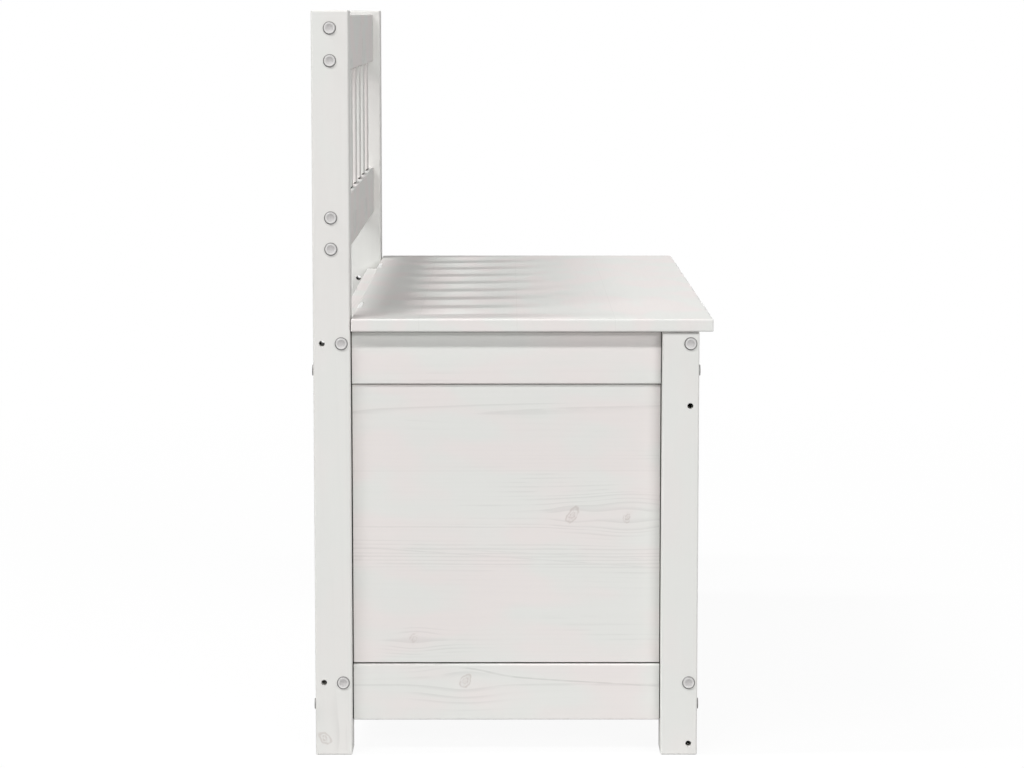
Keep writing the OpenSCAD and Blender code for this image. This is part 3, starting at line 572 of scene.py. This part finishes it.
def line_mask(tree, place, bend, lines):
    """Single dark lines of late wood, which follow the grain past the knots.
    Each is (across at the middle, slope, start, end, strength)"""
    half_width, soft, fading, least_shown = 0.0004, 0.0006, 0.02, 0.6
    break_clouds = (60.0, 30.0, 30.0)
    part = add(tree, "SeparateXYZ", {0: place}).outputs
    level = maths(tree, "ADD", part["Y"], bend)
    breaks = noise(tree, place, break_clouds, 1.0)
    shown = times_plus(tree, step(tree, breaks, 0.35, 0.6), 1.0 - least_shown, least_shown)
    mask = 0.0
    for across, slope, start, end, strength in lines:
        off = times_plus(tree, part["X"], -slope, maths(tree, "SUBTRACT", level, across))
        line = fall(tree, maths(tree, "ABSOLUTE", off), half_width, half_width + soft)
        reach = ridge(tree, part["X"], start, start + fading, end - fading, end)
        line = times(tree, line, reach)
        mask = maths(tree, "MAXIMUM", mask, times(tree, line, strength))
    return times(tree, mask, shown)


def grain_round_knots(tree, place, knots):
    """How far a board's knots bend its grain, and the masks of their cores, rims and halos"""
    bend, core, rim, halo = 0.0, 0.0, 0.0, 0.0
    for x, y, radius, swirl, strength, lean in knots:
        knot = use_group(tree, "knot", {
            "Place": place, "Centre": (x, y, 0.0), "Radius": radius, "Swirl": swirl,
            "Strength": strength, "Lean": lean})
        bend = maths(tree, "ADD", bend, knot["Bend"])
        core = maths(tree, "MAXIMUM", core, knot["Core"])
        rim = maths(tree, "MAXIMUM", rim, knot["Rim"])
        halo = maths(tree, "MAXIMUM", halo, knot["Halo"])
    return bend, core, rim, halo


def pine_material(node, grain, facing=None, strips=False, knots=None, spacing=0.30, pith=None,
                  gaps=NO_GAP_SHADE, seam=None, bands=(), lines=(), figure_share=1.0, warm_share=1.0):
    """White lacquered pine for one board.
    Its knots are (along, across, radius, radius of the bent grain, strength, lean) from its middle. The
    rings show more in its bands, and its lines are single rings that stand out. pith is the heart of its
    tree (across, through) from its middle. figure_share and warm_share scale its rings and its warmth"""
    lacquer_gloss = 0.1
    figure_shift, warmth_shift = 0.73, 0.37
    scene = bpy.context.scene
    wood, colours = scene.bench_wood, scene.bench_colours
    seed = sorted(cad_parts).index(node) + 1
    draw = Random(seed)
    turn, middle, half = board_axes(node, grain, facing)
    if knots is None:
        knots = random_knots(half, seed, spacing)
    if pith is None:
        pith = (draw.uniform(-0.012, 0.012), -wood.pith_depth * draw.uniform(0.8, 1.5))
    material, tree, shader = new_material("lacquered_" + node, Specular_IOR_Level=lacquer_gloss)
    place = add(tree, "Mapping", {
        "Vector": add(tree, "TexCoord").outputs["Object"],
        "Location": -(turn @ middle),
        "Rotation": turn.to_euler()}).outputs[0]
    if strips:
        start = vectors(tree, "ADD", place, (0.0, half.y - gaps[2], 0.0))
        cut = use_group(tree, "glued_strips", {
            "Vector": start, "Strip Width": wood.strip_width, "Seed": float(seed)})
        along, across, depth = cut["Along"], cut["Across"], cut["Depth"]
        tone, joint = cut["Tone"], cut["Joint"]
    else:
        shifted = vectors(tree, "ADD", place, (figure_shift * seed, 0.0, 0.0))
        whole = add(tree, "SeparateXYZ", {0: shifted}).outputs
        along, across, depth = whole["X"], whole["Y"], whole["Z"]
        tone, joint = 0.5, 0.0
    bend, core, rim, halo = grain_round_knots(tree, place, knots)
    halo = maths(tree, "MAXIMUM", halo, band_mask(tree, place, bands))
    # Painted shade: mask of the gaps, the grooves and the slats' feet, and of the seam under the lid
    gap = painted_gap_shade_mask(tree, place, half, gaps)
    if seam is not None:
        gap = maths(tree, "MAXIMUM", gap, seam_mask(tree, place, half, seam))
    vector = add(tree, "CombineXYZ", {
        "X": along, "Y": maths(tree, "ADD", across, bend), "Z": depth}).outputs[0]
    figure = use_group(tree, "annual_rings", {
        "Vector": vector, "Place": vectors(tree, "ADD", place, (warmth_shift * seed, 0.0, 0.0)),
        "Ring Spacing": wood.ring_spacing * draw.uniform(0.8, 1.2),
        "Pith": (0.0, pith[0], pith[1]), "Slant": draw.uniform(-0.02, 0.02), "Halo": halo})
    coat = use_group(tree, "white_lacquer", {
        "Vector": place, "Fibres": figure["Fibres"],
        "Rings": maths(tree, "MAXIMUM", figure["Rings"], line_mask(tree, place, bend, lines)),
        "Warmth": times(tree, figure["Warmth"], warm_share),
        "Tone": tone, "Joint": joint, "Core": core, "Rim": rim, "Gap": gap,
        "Cool Colour": (*colours.lacquer_cool, 1.0), "Warm Colour": (*colours.lacquer_warm, 1.0),
        "Knot Colour": (*colours.knot, 1.0), "Gap Shade Colour": (*colours.joint, 1.0),
        "Ring Shade": wood.ring_shade * figure_share, "Fibre Shade": wood.fibre_shade,
        "Knot Shade": wood.knot_shade, "Relief": wood.relief})
    finish_surface(tree, shader, coat["Colour"], coat["Roughness"], coat["Height"])
    return material


def speckled_material(name, colour, roughness, shade, grain_size, depth, metallic=0.0):
    """Plain finish with a fine mottle in its colour, gloss and surface"""
    material, tree, shader = new_material(name, Metallic=metallic)
    finish = use_group(tree, "mottle", {
        "Vector": add(tree, "TexCoord").outputs["Object"], "Grain Size": grain_size,
        "Dark Colour": (*(Vector(colour) * (1 - shade)), 1.0), "Light Colour": (*colour, 1.0),
        "Roughness": roughness, "Depth": depth})
    finish_surface(tree, shader, finish["Colour"], finish["Roughness"], finish["Height"])
    return material


def shared_material(name):
    """Finish of the small parts by name, each built once"""
    if name in bpy.data.materials:
        return bpy.data.materials[name]
    colours = bpy.context.scene.bench_colours
    recipes = {
        "cap_rim": (colours.cap_rim, 0.45, 0.06, 0.0008, 0.00002),
        "cap_dish": (colours.cap_dish, 0.55, 0.16, 0.0016, 0.00006),
        # cap foot: dark grey painted shade for the caps' flange and wall
        "cap_foot_shade": (colours.cap_foot_shade, 0.50, 0.10, 0.0012, 0.00002),
        "white_steel": (colours.white_steel, 0.42, 0.05, 0.0007, 0.00001),
        "zinc_steel": (colours.zinc, 0.34, 0.25, 0.0012, 0.00001, 1.0),
    }
    return speckled_material(name, *recipes[name])


def beech_material(grain):
    """Bare beech with short darker flecks along the dowels, which lie along the grain"""
    fleck_clouds, ring_share, dark_share, fleck_tint = (160.0, 900.0, 900.0), 0.3, 0.5, 0.62
    pith, plain_rough, fibre_rough, relief = (0.0, 0.02, -0.03), 0.5, 0.2, 0.00004
    colours, wood = bpy.context.scene.bench_colours, bpy.context.scene.bench_wood
    material, tree, shader = new_material("bare_beech_" + grain.lower())
    place = add(tree, "Mapping", {
        "Vector": add(tree, "TexCoord").outputs["Object"],
        "Rotation": grain_turn(grain, "Z").to_euler()}).outputs[0]
    figure = use_group(tree, "annual_rings", {
        "Vector": place, "Place": place, "Ring Spacing": wood.ring_spacing / 2, "Pith": pith})
    flecks = noise(tree, place, fleck_clouds, 1.0)
    dark = times_plus(tree, figure["Rings"], ring_share, step(tree, flecks, 0.58, 0.7))
    dark = times(tree, dark, dark_share, clamp=True)
    tint = mixed(tree, dark, (*colours.beech, 1.0), (*(Vector(colours.beech) * fleck_tint), 1.0))
    rough = times_plus(tree, figure["Fibres"], fibre_rough, plain_rough)
    finish_surface(tree, shader, tint, rough, times(tree, figure["Fibres"], relief))
    return material


def paint(node, material):
    """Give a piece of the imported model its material"""
    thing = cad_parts[node]
    for slot in thing.material_slots:
        slot.material = material


def finish_boards(names, grain, **figure):
    """Lacquered pine for several boards of the same cut"""
    for name in names:
        paint(name, pine_material(name, grain, **figure))


# New pieces

def solids_of(node):
    """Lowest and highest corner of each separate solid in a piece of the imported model"""
    same_place = 1e-6
    mesh = bmesh.new()
    mesh.from_mesh(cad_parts[node].data)
    bmesh.ops.remove_doubles(mesh, verts=mesh.verts, dist=same_place)
    waiting = set(mesh.verts)
    boxes = []
    while waiting:
        edge_of_search = [waiting.pop()]
        found = []
        while edge_of_search:
            vertex = edge_of_search.pop()
            found.append(vertex.co.copy())
            for edge in vertex.link_edges:
                other = edge.other_vert(vertex)
                if other in waiting:
                    waiting.remove(other)
                    edge_of_search.append(other)
        low = Vector(min(co[axis] for co in found) for axis in range(3))
        high = Vector(max(co[axis] for co in found) for axis in range(3))
        boxes.append((low, high))
    mesh.free()
    return sorted(boxes, key=lambda box: tuple(box[0]))


def add_piece(name, mesh, materials, body, slot, *replaced):
    """Make an object of a finished bmesh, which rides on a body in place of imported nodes"""
    data = bpy.data.meshes.new(name)
    mesh.to_mesh(data)
    mesh.free()
    for material in materials:
        data.materials.append(material)
    thing = bpy.data.objects.new(name, data)
    bpy.context.scene.collection.objects.link(thing)
    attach(thing, body)
    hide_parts(*replaced)


def rounded_corner(across, up, size, parts=3):
    """Points that round off an outline's corner, from its side to its top"""
    turns = [pi / 2 * index / parts for index in range(parts + 1)]
    return [(across - size * (1 - cos(turn)), up - size * (1 - sin(turn))) for turn in turns]


def turned(outline, steps):
    """Mesh of an outline of (across, up) points turned round Z, from the axis below to the axis above"""
    made = bmesh.new()
    turns = [2 * pi * index / steps for index in range(steps)]
    rings = [[made.verts.new((across * cos(turn), across * sin(turn), up)) for turn in turns]
             for across, up in outline[1:-1]]
    below, above = made.verts.new((0, 0, outline[0][1])), made.verts.new((0, 0, outline[-1][1]))
    for index in range(steps):
        made.faces.new((below, rings[0][index], rings[0][index - 1]))
        for ring, following in zip(rings, rings[1:]):
            made.faces.new((ring[index - 1], ring[index], following[index], following[index - 1]))
        made.faces.new((above, rings[-1][index - 1], rings[-1][index]))
    return made


def add_cap(mesh, low, high):
    """Add one bolt cap: a disc with a low flange round its foot and a shallow dish inside its rim.
    Its flange and its wall are painted dark grey: painted shade for the shadowed ring round the cap and
    for its shaded side"""
    foot_width, foot_height, rim_width = 0.0011, 0.0004, 0.0015
    dish_depth, round_off = 0.00025, 0.00022
    steps, nearly = 48, 0.99
    rim_finish, dish_finish, foot_shade_finish = 0, 1, 2
    size = high - low
    axis = min(range(3), key=lambda index: size[index])
    radius, height = max(size) / 2, size[axis]
    outwards = Vector((0, 0, 0))
    outwards[axis] = 1.0 if (low + high)[axis] > 0 else -1.0
    foot = (low + high) / 2 - outwards * height / 2
    wall = radius - foot_width
    dish = wall - rim_width
    cap = turned([
        (0, 0), (radius, 0), *rounded_corner(radius, foot_height, round_off),
        (wall, foot_height), *rounded_corner(wall, height, round_off), (dish, height),
        (dish - dish_depth, height - dish_depth), (0, height - dish_depth)], steps)
    for face in cap.faces:
        reach = face.calc_center_median().to_2d().length
        if reach < dish:
            face.material_index = dish_finish
        # The flange and the wall get the dark grey of painted shade
        elif reach > nearly * wall:
            face.material_index = foot_shade_finish
        else:
            face.material_index = rim_finish
    turn = outwards.to_track_quat("Z", "Y").to_matrix()
    bmesh.ops.transform(cap, matrix=Matrix.Translation(foot) @ turn.to_4x4(), verts=cap.verts)
    data = bpy.data.meshes.new("cap")
    cap.to_mesh(data)
    cap.free()
    mesh.from_mesh(data)
    bpy.data.meshes.remove(data)


class BENCH_OT_finish_posts(bpy.types.Operator):
    """Lacquer the four posts"""

    bl_idname = "bench.finish_posts"
    bl_label = "Finish posts"

    def execute(self, context):
        foot_knot = (-0.367, -0.0095, 0.0052, 0.012, 1.0, 0.35)
        warmth = 0.35
        finish_boards(["back_post_left"], "Z", facing="X", knots=[foot_knot], warm_share=warmth)
        finish_boards(["back_post_right"], "Z", facing="X", knots=[], warm_share=warmth)
        # The front posts get painted shade in the seam under the lid's edge
        finish_boards(["front_post_left"], "Z", facing="X", knots=[], seam=("X", -1), warm_share=warmth)
        finish_boards(["front_post_right"], "Z", facing="X", spacing=0.45, seam=("X", 1),
                      warm_share=warmth)
        return {"FINISHED"}


class BENCH_OT_finish_seat_frame(bpy.types.Operator):
    """Lacquer the rails of the seat frame"""

    bl_idname = "bench.finish_seat_frame"
    bl_label = "Finish seat frame"

    def execute(self, context):
        long_rails = ["front_top_rail", "front_bottom_rail", "rear_top_rail", "rear_bottom_rail"]
        # The rails' ends get the painted shade of their gaps
        finish_boards(long_rails, "X", facing="Y", gaps=RAIL_GAP_SHADE)
        # The side top rails get painted shade in the seam under the lid's edge
        finish_boards(["side_top_rail_left"], "Y", facing="X", gaps=RAIL_GAP_SHADE, seam=("Y", -1), knots=[])
        finish_boards(["side_top_rail_right"], "Y", facing="X", gaps=RAIL_GAP_SHADE, seam=("Y", 1),
                      spacing=0.35)
        finish_boards(["side_bottom_rail_right"], "Y", facing="X", spacing=0.35, gaps=RAIL_GAP_SHADE)
        finish_boards(["side_bottom_rail_left"], "Y", facing="X", gaps=RAIL_GAP_SHADE, pith=(-0.03, -0.02),
                      knots=[(0.043, 0.012, 0.0058, 0.022, 1.0, 0.35)],
                      bands=[(0.010, 0.004, 0.0)], lines=[(0.016, 0.061, -0.17, 0.055, 1.8)])
        return {"FINISHED"}


class BENCH_OT_finish_panels(bpy.types.Operator):
    """Lacquer the chest's panels, which are glued from strips"""

    bl_idname = "bench.finish_panels"
    bl_label = "Finish panels"

    def execute(self, context):
        knots = [(-0.069, 0.010, 0.0062, 0.010, 1.0, 0.35), (-0.126, 0.008, 0.0048, 0.020, 1.0, 0.35),
                 (0.095, -0.121, 0.0055, 0.012, 0.6, 0.35)]
        bands = [(-0.032, 0.014, 0.03), (-0.003, 0.003, 0.0), (0.121, 0.006, 0.0)]
        lines = [(-0.0345, 0.07, -0.15, 0.16, 0.9), (-0.029, 0.05, -0.15, 0.05, 0.7),
                 (-0.0025, 0.0, 0.02, 0.16, 0.8)]
        # The panels' edges and tongues get the painted shade of their gaps and grooves
        finish_boards(["side_panel_left"], "Y", strips=True, knots=knots, bands=bands, lines=lines,
                      gaps=PANEL_GAP_SHADE)
        finish_boards(["side_panel_right"], "Y", strips=True, spacing=0.12, gaps=PANEL_GAP_SHADE)
        finish_boards(["front_panel", "rear_panel"], "X", strips=True, spacing=0.16, gaps=PANEL_GAP_SHADE)
        return {"FINISHED"}


class BENCH_OT_finish_chest_bottom(bpy.types.Operator):
    """Lacquer the chest's bottom and its battens"""

    bl_idname = "bench.finish_chest_bottom"
    bl_label = "Finish chest bottom"

    def execute(self, context):
        finish_boards(["bottom_board"], "X", strips=True, spacing=0.2)
        finish_boards(["bottom_batten_front", "bottom_batten_rear"], "X")
        finish_boards(["bottom_batten_left", "bottom_batten_right"], "Y")
        return {"FINISHED"}


class BENCH_OT_finish_backrest(bpy.types.Operator):
    """Lacquer the backrest's rails and slats"""

    bl_idname = "bench.finish_backrest"
    bl_label = "Finish backrest"

    def execute(self, context):
        finish_boards(["backrest_top_rail", "backrest_lower_rail"], "X", facing="Y", spacing=0.4)
        slats = sorted(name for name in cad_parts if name.startswith("backrest_slat_"))
        rail_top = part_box("backrest_lower_rail")[1].z
        tenon = rail_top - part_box(slats[0])[0].z
        # Painted shade at the slats' feet, just above the lower rail, for the shadow where they meet it
        finish_boards(slats, "Z", facing="Y", knots=[], gaps=(tenon + SLAT_FOOT_SHADE, 0.0, 0.0, 0.0, SLAT_FOOT_SHADE))
        return {"FINISHED"}


class BENCH_OT_finish_lid(bpy.types.Operator):
    """Lacquer the seat lid, which is glued from strips, and its battens"""

    bl_idname = "bench.finish_lid"
    bl_label = "Finish lid"

    def execute(self, context):
        finish_boards(["lid_board"], "X", strips=True, knots=[], figure_share=0.3)
        finish_boards(["lid_batten_left", "lid_batten_right"], "Y")
        return {"FINISHED"}


class BENCH_OT_make_bolt_caps(bpy.types.Operator):
    """Make the round caps over the bolts' heads"""

    bl_idname = "bench.make_bolt_caps"
    bl_label = "Make bolt caps"

    def execute(self, context):
        materials = [shared_material(name) for name in ("cap_rim", "cap_dish", "cap_foot_shade")]
        for place in ("backrest", "long_rail", "side_rail"):
            node = place + "_bolt_caps"
            mesh = bmesh.new()
            for low, high in solids_of(node):
                add_cap(mesh, low, high)
            for face in mesh.faces:
                face.smooth = True
            add_piece(node + "_dished", mesh, materials, "frame", "grey_white_cap", node)
        return {"FINISHED"}


class BENCH_OT_finish_fasteners(bpy.types.Operator):
    """Give the bolts, nuts, screws and pins their zinc and the dowels their beech"""

    bl_idname = "bench.finish_fasteners"
    bl_label = "Finish fasteners"

    def execute(self, context):
        zinc = shared_material("zinc_steel")
        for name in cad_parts:
            if name.endswith(("_bolts", "_barrel_nuts", "_screws", "_pins")):
                paint(name, zinc)
        paint("long_rail_dowels", beech_material("X"))
        paint("side_rail_dowels", beech_material("Y"))
        return {"FINISHED"}


class BENCH_OT_finish_hinges(bpy.types.Operator):
    """Give the hinges' leaves their white powder coat"""

    bl_idname = "bench.finish_hinges"
    bl_label = "Finish hinges"

    def execute(self, context):
        for side in ("left", "right"):
            for part in ("frame", "lid"):
                paint(f"hinge_{part}_leaf_{side}", shared_material("white_steel"))
        return {"FINISHED"}


# Stage

def white_for_camera(tree):
    """1 for rays whose background should be plain white, 0 for the light that falls on the bench"""
    rays = add(tree, "LightPath").outputs
    seen = maths(tree, "MAXIMUM", rays["Is Camera Ray"], rays["Is Glossy Ray"])
    return maths(tree, "MAXIMUM", seen, rays["Is Transmission Ray"])


def set_world(strength):
    """Plain white surroundings that light the bench only a little"""
    world = bpy.data.worlds.new("plain_white")
    tree = empty_tree(world)
    lighting = add(tree, "Background", {"Color": (1, 1, 1, 1), "Strength": strength})
    white = add(tree, "Background", {"Color": (1, 1, 1, 1), "Strength": 1.0})
    seen = white_for_camera(tree)
    both = add(tree, "MixShader", {0: seen, 1: lighting.outputs[0], 2: white.outputs[0]})
    add(tree, "OutputWorld", {"Surface": both.outputs[0]})
    bpy.context.scene.world = world


def floor_material(stage):
    """Pale floor that is seen as white with the bench's shadow on it"""
    near, far = 1.2, 2.6
    material = bpy.data.materials.new("pale_floor")
    tree = empty_tree(material)
    place = add(tree, "TexCoord").outputs["Object"]
    fade = fall(tree, length(tree, place), near, far)
    plain = add(tree, "BsdfDiffuse", {"Color": (*stage.floor_colour, 1.0)})
    bright = add(tree, "BsdfDiffuse", {"Color": (1, 1, 1, 1)})
    glow = add(tree, "Emission", {"Color": (1, 1, 1, 1), "Strength": 1.0})
    share = times(tree, fade, stage.floor_shadow)
    seen = add(tree, "MixShader", {0: share, 1: glow.outputs[0], 2: bright.outputs[0]})
    both = add(tree, "MixShader", {0: white_for_camera(tree), 1: plain.outputs[0], 2: seen.outputs[0]})
    add(tree, "OutputMaterial", {"Surface": both.outputs[0]})
    return material


def add_floor(stage):
    """Wide plain floor under the bench"""
    half = 14.0
    mesh = bmesh.new()
    bmesh.ops.create_grid(mesh, x_segments=1, y_segments=1, size=half)
    data = bpy.data.meshes.new("floor")
    mesh.to_mesh(data)
    mesh.free()
    data.materials.append(floor_material(stage))
    floor = bpy.data.objects.new("floor", data)
    bpy.context.scene.collection.objects.link(floor)


def add_lamp(name, brightness, turn, height, wide, tall, distance=16.0, level=False):
    """Soft lamp that gives a white face turned to it this brightness.
    turn is its angle from -X towards +Y and height its angle above the floor, in degrees. wide and tall
    are its sides in metres. A level lamp has its wide side parallel to Y, any other is turned to the
    bench"""
    turn, height = radians(turn), radians(height)
    aim = (cad_box[0] + cad_box[1]) / 2
    towards = Vector((-cos(height) * cos(turn), cos(height) * sin(turn), sin(height)))
    facing = Vector((towards.x, 0, towards.z)).normalized() if level else towards
    lamp = bpy.data.lights.new(name, "AREA")
    lamp.shape = "RECTANGLE"
    lamp.size = wide
    lamp.size_y = tall
    lamp.energy = brightness * (pi * distance) ** 2 / facing.dot(towards)
    thing = bpy.data.objects.new(name, lamp)
    thing.location = aim + towards * distance
    thing.rotation_mode = "QUATERNION"
    thing.rotation_quaternion = (-facing).to_track_quat("-Z", "Y")
    thing.visible_camera = False
    bpy.context.scene.collection.objects.link(thing)


def add_camera(stage):
    """Camera at the bench's end, looking along it"""
    camera = bpy.data.cameras.new("camera")
    camera.sensor_width = 36.0
    camera.lens = stage.camera_lens
    camera.shift_y = stage.camera_shift
    thing = bpy.data.objects.new("camera", camera)
    thing.location = (-stage.camera_distance, stage.camera_side, stage.camera_height)
    thing.rotation_euler = (pi / 2 - stage.camera_tilt, 0.0, -pi / 2 - stage.camera_turn)
    bpy.context.scene.collection.objects.link(thing)
    bpy.context.scene.camera = thing


class BENCH_OT_set_stage(bpy.types.Operator):
    """Set the floor, the light and the camera"""

    bl_idname = "bench.set_stage"
    bl_label = "Set stage"

    def execute(self, context):
        scene = context.scene
        stage = scene.bench_stage
        set_world(stage.sky_light)
        add_floor(stage)
        add_lamp("back_lamp", stage.back_light, turn=83, height=54, wide=0.6, tall=5.0)
        add_lamp("rear_side_lamp", stage.rear_side_light, turn=45, height=44.2, wide=15.0, tall=1.4,
                 distance=20.8, level=True)
        add_lamp("side_lamp", stage.side_light, turn=-18, height=52.6, wide=13.4, tall=1.4,
                 distance=16.2, level=True)
        add_lamp("low_lamp", stage.low_light, turn=-33, height=21, wide=9.4, tall=1.2)
        add_camera(stage)
        scene.view_settings.view_transform = "Standard"
        return {"FINISHED"}


class BENCH_PT_sidebar(bpy.types.Panel):
    """Lists the steps that finish the bench"""

    bl_idname = "BENCH_PT_sidebar"
    bl_label = "Chest bench"
    bl_space_type = "VIEW_3D"
    bl_region_type = "UI"
    bl_category = "Chest bench"

    def draw(self, context):
        for step_class in STEPS:
            self.layout.operator(step_class.bl_idname)
        for settings in ("bench_wood", "bench_colours", "bench_stage"):
            group = getattr(context.scene, settings)
            column = self.layout.column(align=True)
            for name in group.__annotations__:
                column.prop(group, name)


STEPS = (
    BENCH_OT_finish_posts,
    BENCH_OT_finish_seat_frame,
    BENCH_OT_finish_panels,
    BENCH_OT_finish_chest_bottom,
    BENCH_OT_finish_backrest,
    BENCH_OT_finish_lid,
    BENCH_OT_make_bolt_caps,
    BENCH_OT_finish_fasteners,
    BENCH_OT_finish_hinges,
    BENCH_OT_set_stage,
)
CLASSES = (BenchWood, BenchColours, BenchStage, *STEPS, BENCH_PT_sidebar)


def register():
    """Register the classes and give the scene its settings"""
    for made in CLASSES:
        bpy.utils.register_class(made)
    bpy.types.Scene.bench_wood = PointerProperty(type=BenchWood)
    bpy.types.Scene.bench_colours = PointerProperty(type=BenchColours)
    bpy.types.Scene.bench_stage = PointerProperty(type=BenchStage)


def unregister():
    """Take the settings and the classes away again"""
    del bpy.types.Scene.bench_stage
    del bpy.types.Scene.bench_colours
    del bpy.types.Scene.bench_wood
    for made in reversed(CLASSES):
        bpy.utils.unregister_class(made)


def main():
    """Finish the bench step by step"""
    register()
    bpy.ops.bench.finish_posts()
    bpy.ops.bench.finish_seat_frame()
    bpy.ops.bench.finish_panels()
    bpy.ops.bench.finish_chest_bottom()
    bpy.ops.bench.finish_backrest()
    bpy.ops.bench.finish_lid()
    bpy.ops.bench.make_bolt_caps()
    bpy.ops.bench.finish_fasteners()
    bpy.ops.bench.finish_hinges()
    bpy.ops.bench.set_stage()


if __name__ == "__main__":
    main()
